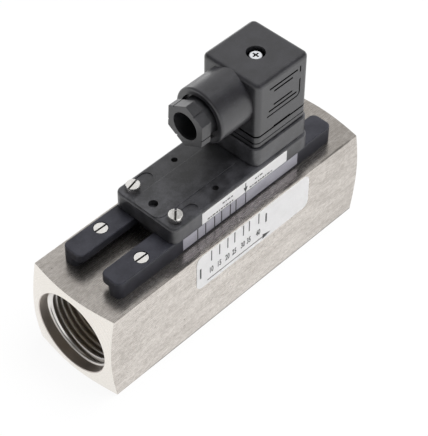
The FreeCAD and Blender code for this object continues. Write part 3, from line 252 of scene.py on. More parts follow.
def shaded(colour: Colour, share: float) -> Colour:
    """The colour times a share."""
    return tuple(share * part for part in colour)


class Finish:
    """A surface finish: paint works out its sockets, material ends them in a shader."""

    def paint(self, point: Wire) -> Sockets:
        """Works out the finish.

        Args:
            point: Point in millimetres.

        Returns:
            Principled sockets.
        """
        raise NotImplementedError

    def material(self, name: str) -> bpy.types.Material:
        """The material of that name."""
        tree = ShaderTree.named(name)
        return tree.surface(self.paint(tree.place()))


@dataclass(frozen=True)
class BrushedPlate(Finish):
    """Nickel plate on a square bar: drawn streaks on its flats, turned rings at its ends."""

    light: Colour = (0.74, 0.695, 0.65)
    dark: Colour = (0.45, 0.415, 0.38)
    # Dark colour of the pits and the grime, and also of the painted shadow line along the bar's lower long
    # edges.
    speck: Colour = (0.17, 0.155, 0.14)
    turned: Colour = (0.88, 0.84, 0.785)
    threaded: Colour = (0.88, 0.86, 0.83)
    # Colour of the thread roots: painted shade, together with oil.
    oily: Colour = (0.50, 0.47, 0.44)
    stained: Colour = (0.58, 0.53, 0.49)
    ring_shade: float = 0.94
    flats: Span = (19.91, 19.96)
    edges: Span = (39.1, 39.6)
    mouth: Span = (16.98, 17.08)
    lead_in: Span = (16.65, 16.70)
    thread_start: Span = (61.52, 61.56)
    thread_root: Span = (15.3, 15.8)
    streaks: Grain = Grain((0.035, 2.4, 2.4), 5.0, 0.6)
    scratches: Grain = Grain((0.16, 9.0, 9.0), 2.0)
    clouds: Grain = Grain((0.06, 0.2, 0.2), 3.0, 0.55)
    blotches: Grain = Grain((0.45, 0.75, 0.75), 5.0, 0.7)
    pits: Grain = Grain((0.62, 0.85, 0.85), 2.0, 0.6)
    pit_limits: Span = (0.67, 0.72)
    ring_waves: Span = (5.0, 3.0)
    ring_limits: Span = (0.25, 0.7)
    # Reach along X and share of the darkening towards the outlet end.
    handled_reach: Span = (24.0, 64.0)
    handled_shade: float = 0.05
    shade_mix: Triple = (0.22, 0.30, 0.48)
    shade_limits: Span = (0.33, 0.65)
    grime_start: Span = (40.0, 46.0)
    grime_end: Span = (58.0, 62.0)
    grime_clouds: Span = (0.38, 0.55)
    foot_height: Span = (0.0, 10.0)
    foot_start: Span = (-58.0, -40.0)
    # Shares of the pits, the grime and the painted shadow line along the lower edges.
    dirt_shares: Triple = (0.7, 0.8, 0.95)
    mark_mix: Triple = (0.5, 0.3, 0.2)
    mark_depth: float = 0.004
    roughness: float = 0.27
    mark_roughness: float = 0.25
    lathe_roughness: float = 0.34
    lead_roughness: float = 0.08
    ring_roughness: float = 0.1
    face_polish: float = 0.14
    shine: float = 0.97

    def paint(self, point: Wire) -> Sockets:
        """Streaks run along X on the flats; rings follow the radius on everything turned.

        Args:
            point: Point in millimetres.

        Returns:
            Principled sockets.
        """
        tree = point.tree
        x, y, z = tree.axes(point)
        drop = z - BAR_AXIS_Z
        radius = (y * y + drop * drop) ** 0.5
        flat = abs(y).larger(abs(drop)).ramp(*self.flats)
        edge = (abs(y) + abs(drop)).ramp(*self.edges)
        outside = radius.ramp(*self.mouth)
        start = abs(x).ramp(*self.thread_start)
        lead = start * radius.ramp(*self.lead_in)
        # The thread is painted darker towards its roots: painted shade in the grooves, together with oil.
        root = radius.ramp(*self.thread_root) * (1 - start)
        streak = tree.noise(point, self.streaks)
        scratch = tree.noise(point, self.scratches)
        cloud = tree.noise(point, self.clouds)
        blotch = tree.noise(point, self.blotches)
        pit = tree.noise(point, self.pits).ramp(*self.pit_limits)
        ring = tree.line_noise(radius * self.ring_waves[0] + x * self.ring_waves[1])
        # The flats are drawn darker towards the outlet end.
        outlet_darkening = x.ramp(*self.handled_reach) * self.handled_shade
        shade = (weighed(self.shade_mix, streak, cloud, blotch) - outlet_darkening).ramp(*self.shade_limits)
        grime = edge * x.ramp(*self.grime_start) * (1 - x.ramp(*self.grime_end))
        grime = grime * cloud.ramp(*self.grime_clouds)
        # Painted shadow: a dark line along the bar's lower long edges, fading in near the inlet end.
        foot = edge * (1 - z.ramp(*self.foot_height)) * x.ramp(*self.foot_start)
        pit, grime, foot = [mask * share for mask, share in zip((pit, grime, foot), self.dirt_shares)]
        # Pits and grime are marks on the metal; the lower-edge line is painted shadow.
        dirt_and_shadow = pit.larger(grime).larger(foot)
        drawn = tree.blend(dirt_and_shadow, tree.blend(shade, self.dark, self.light), self.speck)
        dull = shaded(self.turned, self.ring_shade)
        rings = tree.blend(ring.ramp(*self.ring_limits), dull, self.turned)
        bored = tree.blend(lead, tree.blend(root, self.threaded, self.oily), self.stained)
        lathed = tree.blend(outside, bored, rings)
        mark = weighed(self.mark_mix, streak, scratch, blotch)
        height = flat * mark + (1 - flat) * outside * ring
        face = outside * (ring.swing() * self.ring_roughness - self.face_polish)
        lathe = self.lathe_roughness + lead * self.lead_roughness + face
        rough = flat * (self.roughness + mark.swing() * self.mark_roughness) + (1 - flat) * lathe
        return {"Base Color": tree.blend(flat, lathed, drawn), "Metallic": self.shine, "Roughness": rough,
                "Normal": tree.bump(height, self.mark_depth)}


@dataclass(frozen=True)
class MouldedPlastic(Finish):
    """Black moulded plastic with a fine eroded grain and faint flow marks."""

    colour: Colour
    worn: Colour
    roughness: float = 0.42
    grain: float = 2.6
    grain_depth: float = 0.012
    gloss: float = 0.8
    grain_strength: float = 0.6
    clouds: Grain = Grain((0.15, 0.19, 0.15), 6.0, 0.68)
    dust: Grain = Grain((1.1, 1.1, 1.1), 1.0)
    dust_limits: Span = (0.70, 0.78)
    dust_share: float = 0.25
    dust_gain: float = 2.2
    wear_mix: Span = (0.7, 0.3)
    wear_limits: Span = (0.38, 0.64)
    cloud_roughness: float = 0.16
    grain_roughness: float = 0.1

    def soil(self, point: Wire) -> Term:
        """Plain faces get no painted shade."""
        return 0.0

    def paint(self, point: Wire) -> Sockets:
        """Grain drives the bump; slow clouds shift colour and gloss a little.

        Args:
            point: Point in millimetres.

        Returns:
            Principled sockets.
        """
        tree = point.tree
        grain = tree.noise(point, Grain((self.grain,) * 3, strength=self.grain_strength))
        cloud = tree.noise(point, self.clouds)
        dust = tree.noise(point, self.dust).ramp(*self.dust_limits)
        wear = weighed(self.wear_mix, cloud, grain).ramp(*self.wear_limits)
        colour = tree.blend(wear, self.colour, self.worn)
        dusty = tree.blend(dust * self.dust_share, colour, shaded(self.worn, self.dust_gain))
        rough = weighed((self.cloud_roughness, self.grain_roughness), cloud.swing(), grain.swing())
        # Painted shade, where a subclass gives it, turns the surface near-black and metallic.
        soil = self.soil(point)
        return {"Base Color": tree.blend(soil, dusty, SHADE_COLOUR), "Metallic": soil,
                "Roughness": self.roughness + rough, "Specular IOR Level": self.gloss,
                "Normal": tree.bump(grain, self.grain_depth)}


@dataclass(frozen=True)
class EngravedPlastic(MouldedPlastic):
    """Moulded plastic of the square hood, with painted shade in its engraved lines and grooves."""

    middle_x: float = 27.4
    straight: float = 11.1
    corner: float = 2.4
    rounding: Span = (90.5, 90.7)
    # Depths behind the sides where the painted shade starts and is full.
    soil_depth: Span = (0.1, 0.3)

    def soil(self, point: Wire) -> Term:
        """Painted shade lies behind the sides of the rounded square, below the rounding of its top.

        Args:
            point: Point in millimetres.

        Returns:
            1 in the painted shade, 0 elsewhere.
        """
        x, y, z = point.tree.axes(point)
        along = (abs(x - self.middle_x) - self.straight).larger(0.0)
        across = (abs(y) - self.straight).larger(0.0)
        inset = self.corner - (along * along + across * across) ** 0.5
        return inset.ramp(*self.soil_depth) * (1 - z.ramp(*self.rounding))


@dataclass(frozen=True)
class TwoTone(Finish):
    """Two near shades that follow fine marks and slow clouds."""

    colour: Colour
    tint: Colour
    roughness: float
    marks: Triple
    metallic: float
    tint_limits: Span
    mark_roughness: float
    mark_depth: float
    layers: float = 3.0
    strength: float = 0.6
    clouds: Grain = Grain((0.5, 0.5, 0.5))
    tint_mix: Span = (0.5, 0.5)

    def paint(self, point: Wire) -> Sockets:
        """Marks and clouds share out the two shades; the marks alone shift gloss and height.

        Args:
            point: Point in millimetres.

        Returns:
            Principled sockets.
        """
        tree = point.tree
        mark = tree.noise(point, Grain(self.marks, self.layers, self.strength))
        cloud = tree.noise(point, self.clouds)
        tint = weighed(self.tint_mix, mark, cloud).ramp(*self.tint_limits)
        return {"Base Color": tree.blend(tint, self.tint, self.colour), "Metallic": self.metallic,
                "Roughness": self.roughness + mark.swing() * self.mark_roughness,
                "Normal": tree.bump(mark, self.mark_depth)}


@dataclass(frozen=True)
class TurnedMetal(TwoTone):
    """Metal with fine tool marks along one axis, its plating tinted by slow clouds."""

    roughness: float = 0.26
    marks: Triple = (6.0, 0.4, 0.4)
    metallic: float = 1.0
    tint_limits: Span = (0.32, 0.68)
    mark_roughness: float = 0.2
    mark_depth: float = 0.004


@dataclass(frozen=True, kw_only=True)
class SlottedScrew(TwoTone):
    """Zinc plated screw whose slot is painted dark: painted shade."""

    middle: Span
    head_top: float
    slot_reach: Span
    slot_depth: Span = (0.10, 0.40)
    haze: float = 0.3
    # Extra roughness where the slot is painted dark.
    dirt_roughness: float = 0.4
    colour: Colour = (0.97, 0.955, 0.93)
    tint: Colour = (0.84, 0.815, 0.775)
    roughness: float = 0.22
    marks: Triple = (2.2, 2.2, 0.8)
    metallic: float = 1.0
    tint_limits: Span = (0.34, 0.62)
    mark_roughness: float = 0.24
    mark_depth: float = 0.008
    layers: float = 4.0
    strength: float = 0.65
    clouds: Grain = Grain((0.9, 0.9, 0.9))
    tint_mix: Span = (0.6, 0.4)

    def paint(self, point: Wire) -> Sockets:
        """Painted shade fills whatever lies below the head's top and within reach of its middle.

        Args:
            point: Point in millimetres.

        Returns:
            Principled sockets.
        """
        tree, plate = point.tree, super().paint(point)
        x, y, z = tree.axes(point)
        along, across = abs(x) - self.middle[0], abs(y) - self.middle[1]
        away = (along * along + across * across) ** 0.5
        below = (self.head_top - z).ramp(*self.slot_depth)
        # Painted shade: near-black below the head's top, near its middle.
        deep = below * (1 - away.ramp(*self.slot_reach))
        return {**plate, "Base Color": tree.blend(deep, plate["Base Color"], SHADE_COLOUR),
                "Metallic": (1 - deep) * (self.metallic - (1 - below) * self.haze),
                "Roughness": plate["Roughness"] + deep * self.dirt_roughness}


@dataclass(frozen=True)
class PrintedFilm(TwoTone):
    """Thin label stock with a faint paper mottle in colour and gloss, no direction."""

    roughness: float = 0.38
    marks: Triple = (1.8, 1.8, 1.8)
    metallic: float = 0.0
    tint_limits: Span = (0.3, 0.65)
    mark_roughness: float = 0.15
    mark_depth: float = 0.003
    clouds: Grain = Grain((0.12, 0.2, 0.2), 2.0)


@dataclass(frozen=True)
class SoftRubber(TwoTone):
    """Matt black rubber with a fine grain; its chalky bloom follows the clouds alone."""

    colour: Colour = (0.045, 0.045, 0.046)
    tint: Colour = (0.016, 0.016, 0.016)
    roughness: float = 0.62
    marks: Triple = (4.0, 4.0, 4.0)
    metallic: float = 0.0
    tint_limits: Span = (0.35, 0.75)
    mark_roughness: float = 0.2
    mark_depth: float = 0.01
    layers: float = 2.0
    strength: float = 0.5
    clouds: Grain = Grain((0.35, 0.35, 0.35), 4.0, 0.6)
    tint_mix: Span = (0.0, 1.0)


@dataclass(frozen=True)
class TintedGlass(Finish):
    """Clear tube glass with a green tint."""

    colour: Colour = (0.62, 0.80, 0.68)
    shade: float = 0.9
    hazes: Grain = Grain((1.5, 1.5, 1.5), 2.0)
    roughness: float = 0.04
    haze_roughness: float = 0.08
    clearness: float = 0.85
    refraction: float = 1.5

    def paint(self, point: Wire) -> Sockets:
        """A thin haze varies the tint and the roughness."""
        haze = point.tree.noise(point, self.hazes)
        return {"Base Color": point.tree.blend(haze, self.colour, shaded(self.colour, self.shade)),
                "Roughness": self.roughness + haze * self.haze_roughness,
                "Transmission Weight": self.clearness, "IOR": self.refraction}


@dataclass(frozen=True)
class WovenLaminate(Finish):
    """Green circuit board laminate with its glass weave showing through."""

    colour: Colour = (0.03, 0.16, 0.07)
    thread: Colour = (0.05, 0.24, 0.11)
    turns_per_mm: float = 7.0
    weave_limits: Span = (-0.6, 0.6)
    roughness: float = 0.3
    weave_roughness: float = 0.04
    weave_depth: float = 0.01

    def paint(self, point: Wire) -> Sockets:
        """Two crossed sine waves make the weave.

        Args:
            point: Point in millimetres.

        Returns:
            Principled sockets.
        """
        tree = point.tree
        x, y, _ = tree.axes(point)
        weave = (x * self.turns_per_mm).wave() * (y * self.turns_per_mm).wave()
        return {"Base Color": tree.blend(weave.ramp(*self.weave_limits), self.colour, self.thread),
                "Roughness": self.roughness + weave * self.weave_roughness,
                "Normal": tree.bump(weave, self.weave_depth)}


class Stock(Enum):
    """The finishes: one for each material slot, and four more for the seen screws and the ink."""

    nickel_plate = BrushedPlate()
    rail_plastic = MouldedPlastic((0.022, 0.0222, 0.029), (0.036, 0.0365, 0.046), 0.38, gloss=0.4)
    housing_plastic = MouldedPlastic((0.016, 0.016, 0.018), (0.056, 0.056, 0.063), 0.38, gloss=1.0)
    hood_plastic = EngravedPlastic((0.015, 0.0147, 0.017), (0.025, 0.0247, 0.029), 0.36, 2.2, 0.03, 1.0)
    gland_plastic = MouldedPlastic((0.022, 0.022, 0.024), (0.034, 0.034, 0.037), 0.38)
    screw_steel = TurnedMetal((0.93, 0.915, 0.885), (0.78, 0.755, 0.71), 0.22, (2.6, 2.6, 0.6))
    rail_screw = SlottedScrew(middle=(40.9, 10.15), head_top=47.3, slot_reach=(2.6, 2.9))
    clamp_screw = SlottedScrew(middle=(24.2, 10.55), head_top=57.0, slot_reach=(2.2, 2.5))
    cross_screw = SlottedScrew(middle=(27.4, 0.0), head_top=91.4, slot_reach=(1.8, 2.1),
                               colour=(0.98, 0.985, 1.0), tint=(0.84, 0.86, 0.92))
    strip_foil = PrintedFilm((0.56, 0.55, 0.62), (0.44, 0.43, 0.49), 0.34, metallic=0.35)
    label_film = PrintedFilm((0.722, 0.717, 0.722), (0.668, 0.663, 0.663))
    stainless = TurnedMetal((0.62, 0.61, 0.59), (0.46, 0.45, 0.43))
    turned_brass = TurnedMetal((0.78, 0.60, 0.30), (0.56, 0.40, 0.17))
    spring_steel = TurnedMetal((0.50, 0.49, 0.47), (0.30, 0.29, 0.28), 0.3, (2.0, 2.0, 2.0))
    magnet = TurnedMetal((0.12, 0.12, 0.125), (0.06, 0.06, 0.065), 0.5, (1.5, 1.5, 1.5), 0.6)
    seal_rubber = SoftRubber()
    contact_metal = TurnedMetal((0.80, 0.77, 0.68), (0.62, 0.58, 0.48), 0.25, (1.0, 1.0, 5.0))
    reed_glass = TintedGlass()
    board = WovenLaminate()
    block_plastic = MouldedPlastic((0.17, 0.17, 0.18), (0.21, 0.21, 0.22), 0.5)
    ink = MouldedPlastic((0.012, 0.012, 0.013), (0.022, 0.022, 0.023), 0.5, 6.0, 0.002)


class Wardrobe:
    """Makes each material once and hands it out."""

    def __init__(self) -> None:
        """Starts with no material made."""
        self.made: dict[Stock, bpy.types.Material] = {}

    def take(self, stock: Stock) -> bpy.types.Material:
        """The material of a finish, made on first use.

        Args:
            stock: The finish.

        Returns:
            Its material.
        """
        if stock not in self.made:
            self.made[stock] = stock.value.material(stock.name)
        return self.made[stock]

    def dress_solids(self) -> None:
        """Gives every carried-over CAD node its own finish, or else that of its material slot."""
        own = {"rail_screws": Stock.rail_screw, "clamp_screws": Stock.clamp_screw,
               "hood_screw": Stock.cross_screw}
        for part in frame["record"]["subparts"]:
            stock = own.get(part["node"], Stock[part["material_slot"]])
            for holder in frame["nodes"][part["node"]].material_slots:
                holder.material = self.take(stock)
            LOG.info("node %s wears %s", part["node"], stock.name)


WARDROBE = Wardrobe()


def add_object(name: str, data: bpy.types.ID) -> bpy.types.Object:
    """Puts a new object into the scene.

    Args:
        name: Name of the object.
        data: Its mesh, light or camera.

    Returns:
        The object.
    """
    item = bpy.data.objects.new(name, data)
    bpy.context.scene.collection.objects.link(item)
    return item


def grid_quads(rows: int, columns: int, wrap: bool) -> np.ndarray:
    """Corner numbers of the quads of a grid: each cell joins a row to the next one.

    Args:
        rows: Points along the first parameter.
        columns: Points along the second parameter.
        wrap: Whether the last column joins the first.

    Returns:
        One row of four point numbers for each quad.
    """
    row, column = np.meshgrid(np.arange(rows - 1), np.arange(columns - (not wrap)), indexing="ij")
    near, far = row * columns, (row + 1) * columns
    right = (column + 1) % columns
    return np.stack([near + column, near + right, far + right, far + column], axis=-1).reshape(-1, 4)


@dataclass
class Draft:
    """Surfaces of one piece, gathered in millimetres before they become a mesh."""

    points: list[np.ndarray] = field(default_factory=list)
    faces: list[list[int]] = field(default_factory=list)
    count: int = 0

    def add(self, points: np.ndarray, faces: np.ndarray) -> None:
        """Adds loose points and the faces between them.

        Args:
            points: Places, with XYZ last.
            faces: Point numbers, one row for each face.
        """
        self.points.append(np.asarray(points, dtype=float).reshape(-1, 3))
        self.faces += (np.asarray(faces) + self.count).tolist()
        self.count += len(self.points[-1])

    def sheet(self, points: np.ndarray, wrap: bool = True, caps: bool = False) -> None:
        """Adds a surface given on a grid of two parameters.

        Args:
            points: Array of rows, columns and XYZ.
            wrap: Whether the last column joins the first.
            caps: Whether the first and last row are closed by flat faces.
        """
        rows, columns = points.shape[:2]
        start = self.count
        self.add(points, grid_quads(rows, columns, wrap))
        if caps:
            ring = np.arange(columns) + start
            self.faces += [ring.tolist(), (ring + (rows - 1) * columns)[::-1].tolist()]

    def boxes(self, low: np.ndarray, high: np.ndarray) -> None:
        """Adds many plain bars at once: each corner mixes its low and high ends.

        Args:
            low: Lowest corners, one row for each bar.
            high: Highest corners, one row for each bar.
        """
        pick = np.array([[0, 0, 0], [1, 0, 0], [1, 1, 0], [0, 1, 0],
                         [0, 0, 1], [1, 0, 1], [1, 1, 1], [0, 1, 1]])
        sides = np.array([[0, 3, 2, 1], [4, 5, 6, 7], [0, 1, 5, 4],
                          [1, 2, 6, 5], [2, 3, 7, 6], [3, 0, 4, 7]])
        points = low[:, None, :] + pick[None] * (high - low)[:, None, :]
        faces = sides[None] + len(pick) * np.arange(len(low))[:, None, None]
        self.add(points, faces.reshape(-1, 4))

    def piece(self, name: str, stock: Stock, body: str, slot: str, replaces: Sequence[str] = (),
              sharp: float = 32.0) -> bpy.types.Object:
        """Makes the mesh object, hangs it under its body and hides the CAD nodes that it stands for.

        Args:
            name: Name of the piece.
            stock: Finish of the piece.
            body: CAD body that it rides on.
            slot: Material slot of the record; not used.
            replaces: CAD nodes that it stands for.
            sharp: Edges over this many degrees stay crisp.

        Returns:
            The finished object.
        """
        mesh = bpy.data.meshes.new(name)
        mesh.from_pydata((np.concatenate(self.points) * MM).tolist(), [], self.faces)
        shape = bmesh.new()
        shape.from_mesh(mesh)
        bmesh.ops.remove_doubles(shape, verts=shape.verts, dist=WELD)
        bmesh.ops.recalc_face_normals(shape, faces=shape.faces)
        shape.to_mesh(mesh)
        shape.free()
        mesh.polygons.foreach_set("use_smooth", np.ones(len(mesh.polygons), dtype=bool))
        mesh.set_sharp_from_angle(angle=math.radians(sharp))
        mesh.materials.append(WARDROBE.take(stock))
        item = add_object(name, mesh)
        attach(item, body)
        if replaces:
            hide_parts(*replaces)
        LOG.info("piece %s: %d faces on %s", name, len(mesh.polygons), body)
        return item


def square_radius(angle: np.ndarray, apothem: float, corner: float) -> np.ndarray:
    """Distance to a square with rounded corners, seen from its middle.

    The angle is folded onto half a side. Along the flat the distance is the apothem over the
    cosine; near the corner it runs to a circle of the corner radius that touches both flats.

    Args:
        angle: Angles from the middle of one flat, in radians.
        apothem: Distance from the middle to each flat.
        corner: Corner radius.

    Returns:
        One distance for each angle.
    """
    half = math.pi / 4
    fold = np.abs((angle + half) % (2 * half) - half)
    touch = math.atan((apothem - corner) / apothem)
    reach = (apothem - corner) / math.cos(half)
    away = half - fold
    arc = reach * np.cos(away) + np.sqrt(np.maximum(corner ** 2 - (reach * np.sin(away)) ** 2, 0))
    return np.where(fold <= touch, apothem / np.cos(fold), arc)


def round_outline(low: Span, high: Span, corner: float, steps: int = 8) -> np.ndarray:
    """Outline of a rectangle with rounded corners.

    Each corner is a quarter circle about a centre set in by the corner radius.

    Args:
        low: Lowest two coordinates.
        high: Highest two coordinates.
        corner: Corner radius.
        steps: Steps in each quarter circle.

    Returns:
        Points in order, anticlockwise.
    """
    turn = (np.arange(4)[:, None] + np.linspace(0, 1, steps + 1)[None]) * math.pi / 2
    centre_u = np.array([high[0] - corner, low[0] + corner, low[0] + corner, high[0] - corner])
    centre_v = np.array([high[1] - corner, high[1] - corner, low[1] + corner, low[1] + corner])
    u = centre_u[:, None] + corner * np.cos(turn)
    v = centre_v[:, None] + corner * np.sin(turn)
    return np.stack([u.ravel(), v.ravel()], axis=-1)


def turned(x: np.ndarray, radius: np.ndarray, angle: np.ndarray) -> np.ndarray:
    """Points at a distance from the bar's axis: Y is the cosine, Z the sine of the angle."""
    y, z = radius * np.cos(angle), BAR_AXIS_Z + radius * np.sin(angle)
    return np.stack(np.broadcast_arrays(x, y, z), -1)


@dataclass
class FlowBar:
    """Square metal bar with a turned cone and a threaded port at each end."""

    half_length: float = 66.7
    half_width: float = 20.0
    round_steps: int = 144
    edge_reach: float = 0.0063
    edge_steps: int = 7
    angle_digits: int = 7
    crisp: float = 28.0
    edge_radius: float = 0.25
    edge_break: float = 0.05
    face_radius: float = 18.624
    cone_slope: float = math.tan(math.radians(15.0))
    mouth_break: float = 0.25
    lead_radius: float = 16.724
    lead_depth: float = 4.0
    thread_minor: float = 15.145
    thread_height: float = 1.479
    thread_flat: float = 1 / 6
    pitch: float = 2.309
    rows_per_pitch: int = 12
    start_steps: tuple[Span, ...] = (
        (4.0, 16.724), (4.35, 16.05), (4.7, 16.05), (5.17, 15.145))
    thread_end: float = 18.863
    relief: Span = (16.704, 21.463)
    bore_radius: float = 14.0
    seat_steps: tuple[Span, ...] = (
        (21.463, 14.65), (22.163, 14.65), (22.163, 15.65), (23.463, 15.65), (23.463, 14.65),
        (25.463, 14.65))

    def __post_init__(self) -> None:
        """Takes even steps round the bore, with more where the bar's long edges are rounded."""
        even = np.linspace(0, 2 * math.pi, self.round_steps, endpoint=False)
        edge = math.pi / 4 + np.linspace(-self.edge_reach, self.edge_reach, self.edge_steps)
        extra = np.arange(4)[:, None] * math.pi / 2 + edge[None]
        self.angle = np.unique(np.round(np.concatenate([even, extra.ravel()]), self.angle_digits))

    def thread_wall(self, depth: Union[float, np.ndarray], angle: np.ndarray, sign: int) -> np.ndarray:
        """Radius of the thread at a depth and an angle.

        The phase is the place along the axis in pitches less the angle in turns, so the groove is a
        right-hand helix. A triangle wave of that phase is cut off flat at crest and root.

        Args:
            depth: Depth behind the end face.
            angle: Angle about the bore.
            sign: -1 at the inlet, 1 at the outlet.

        Returns:
            One radius for each place.
        """
        place = -sign * (depth - self.lead_depth)
        wave = np.abs(2 * ((place / self.pitch - angle / (2 * math.pi)) % 1.0) - 1)
        groove = np.clip((wave - self.thread_flat) / (1 - 2 * self.thread_flat), 0, 1)
        return self.thread_minor + self.thread_height * groove

    def thread_sheet(self, sign: int) -> np.ndarray:
        """The thread on a grid whose rows follow the helix.

        Each row advances by one pitch per turn and stops at the thread's ends, where rows that
        have run out fall together; the last column is the first one a full turn on.

        Args:
            sign: -1 at the inlet, 1 at the outlet.

        Returns:
            Rows and columns of XYZ.
        """
        full = np.append(self.angle, self.angle[0] + 2 * math.pi)
        step = self.pitch / self.rows_per_pitch
        rows = np.arange(self.lead_depth - self.pitch, self.thread_end + self.pitch + step, step)[:, None]
        lead = sign * self.pitch * full[None] / (2 * math.pi)
        depth = np.clip(rows - lead + (sign > 0) * self.pitch, self.start_steps[-1][0], self.thread_end)
        wall = self.thread_wall(depth, full[None], sign)
        return turned(sign * (self.half_length - depth), wall, full[None])

    def outer_rows(self, sign: int) -> Rows:
        """Depth and radius of one end, from the flats over the cone and the mouth to the thread.

        The bar's section is a rounded square. The cone starts at the end ring and rises by its
        slope, so its depth at each angle follows from how far the square reaches past the ring.
        Two short cones open the thread, wherever its groove isn't wider than they are.

        Args:
            sign: -1 at the inlet, 1 at the outlet.

        Returns:
            A depth and a radius at each angle, row by row.
        """
        square = square_radius(self.angle, self.half_width, self.edge_radius)
        inner = square - self.edge_break
        whole = np.ones_like(self.angle)
        mouth = self.lead_radius + self.mouth_break
        rows = [((square - self.face_radius) * self.cone_slope + self.edge_break, square),
                ((inner - self.face_radius) * self.cone_slope, inner),
                (0 * whole, self.face_radius * whole), (0 * whole, mouth * whole),
                (self.mouth_break * whole, self.lead_radius * whole)]
        return rows + [(depth * whole, np.maximum(radius, self.thread_wall(depth, self.angle, sign)))
                       for depth, radius in self.start_steps]

    def inner_rows(self, sign: int) -> Rows:
        """Depth and radius of one end behind its thread, down to the flow bore.

        Args:
            sign: -1 at the inlet, 1 at the outlet.

        Returns:
            A depth and a radius at each angle, row by row.
        """
        whole = np.ones_like(self.angle)
        steps = [(self.thread_end, self.relief[0]), (self.relief[1], self.relief[0])]
        steps += self.seat_steps if sign < 0 else ()
        steps.append((steps[-1][0], self.bore_radius))
        rows = [(self.thread_end * whole, self.thread_wall(self.thread_end, self.angle, sign))]
        return rows + [(depth * whole, radius * whole) for depth, radius in steps]

    def sleeve(self, inlet: Rows, outlet: Rows) -> np.ndarray:
        """Joins the rows of both ends into one sleeve about the bar's axis.

        Args:
            inlet: Depth and radius rows of the inlet end.
            outlet: Depth and radius rows of the outlet end.

        Returns:
            Rows and columns of XYZ.
        """
        rows = [(-self.half_length + depth, radius) for depth, radius in inlet]
        rows += [(self.half_length - depth, radius) for depth, radius in outlet[::-1]]
        return np.stack([turned(x, radius, self.angle) for x, radius in rows])

    def build(self) -> None:
        """Outside, thread and bore are sheets over the same angles, welded where they meet."""
        draft = Draft()
        draft.sheet(self.sleeve(self.outer_rows(-1)[::-1], self.outer_rows(1)[::-1]))
        draft.sheet(self.sleeve(self.inner_rows(-1), self.inner_rows(1)))
        for sign in (-1, 1):
            draft.sheet(self.thread_sheet(sign), wrap=False)
        draft.piece("flow_bar", Stock.nickel_plate, "body", "nickel_plate", ["flow_body"], self.crisp)


@dataclass
class ReturnSpring:
    """Round wire wound between the float and its seat."""

    node: str = "return_spring"
    joint: str = "float_slide"
    wire_radius: float = 0.4
    turns: int = 9
    steps_per_turn: int = 48
    wire_sides: int = 12

    def travel(self) -> float:
        """The float's longest way, in millimetres."""
        joints = frame["record"]["behaviour"]["joints"]
        return next(joint["range_m"][1] for joint in joints if joint["name"] == self.joint) / MM

    def build(self) -> None:
        """Carries the wire's round section along a helix.

        The helix advances evenly with its turn. The section stands in the plane of the bar's axis:
        its cosine adds to the helix's radius and its sine to the place along the axis.
        """
        low, high = (np.array(corner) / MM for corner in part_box(self.node))
        length = high[0] - low[0]
        radius = (high[1] - low[1]) / 2 - self.wire_radius
        share = np.linspace(0, 1, self.turns * self.steps_per_turn + 1)[:, None]
        around = np.linspace(0, 2 * math.pi, self.wire_sides, endpoint=False)[None]
        middle = low[0] + self.wire_radius + share * (length - 2 * self.wire_radius)
        turn = 2 * math.pi * self.turns * share - math.pi / 2
        wire = turned(middle + self.wire_radius * np.sin(around),
                      radius + self.wire_radius * np.cos(around), turn)
        draft = Draft()
        draft.sheet(wire, caps=True)
        coil = draft.piece("return_coil", Stock.spring_steel, "body", "spring_steel", [self.node])
        1 - self.travel() / length
        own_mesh(coil)


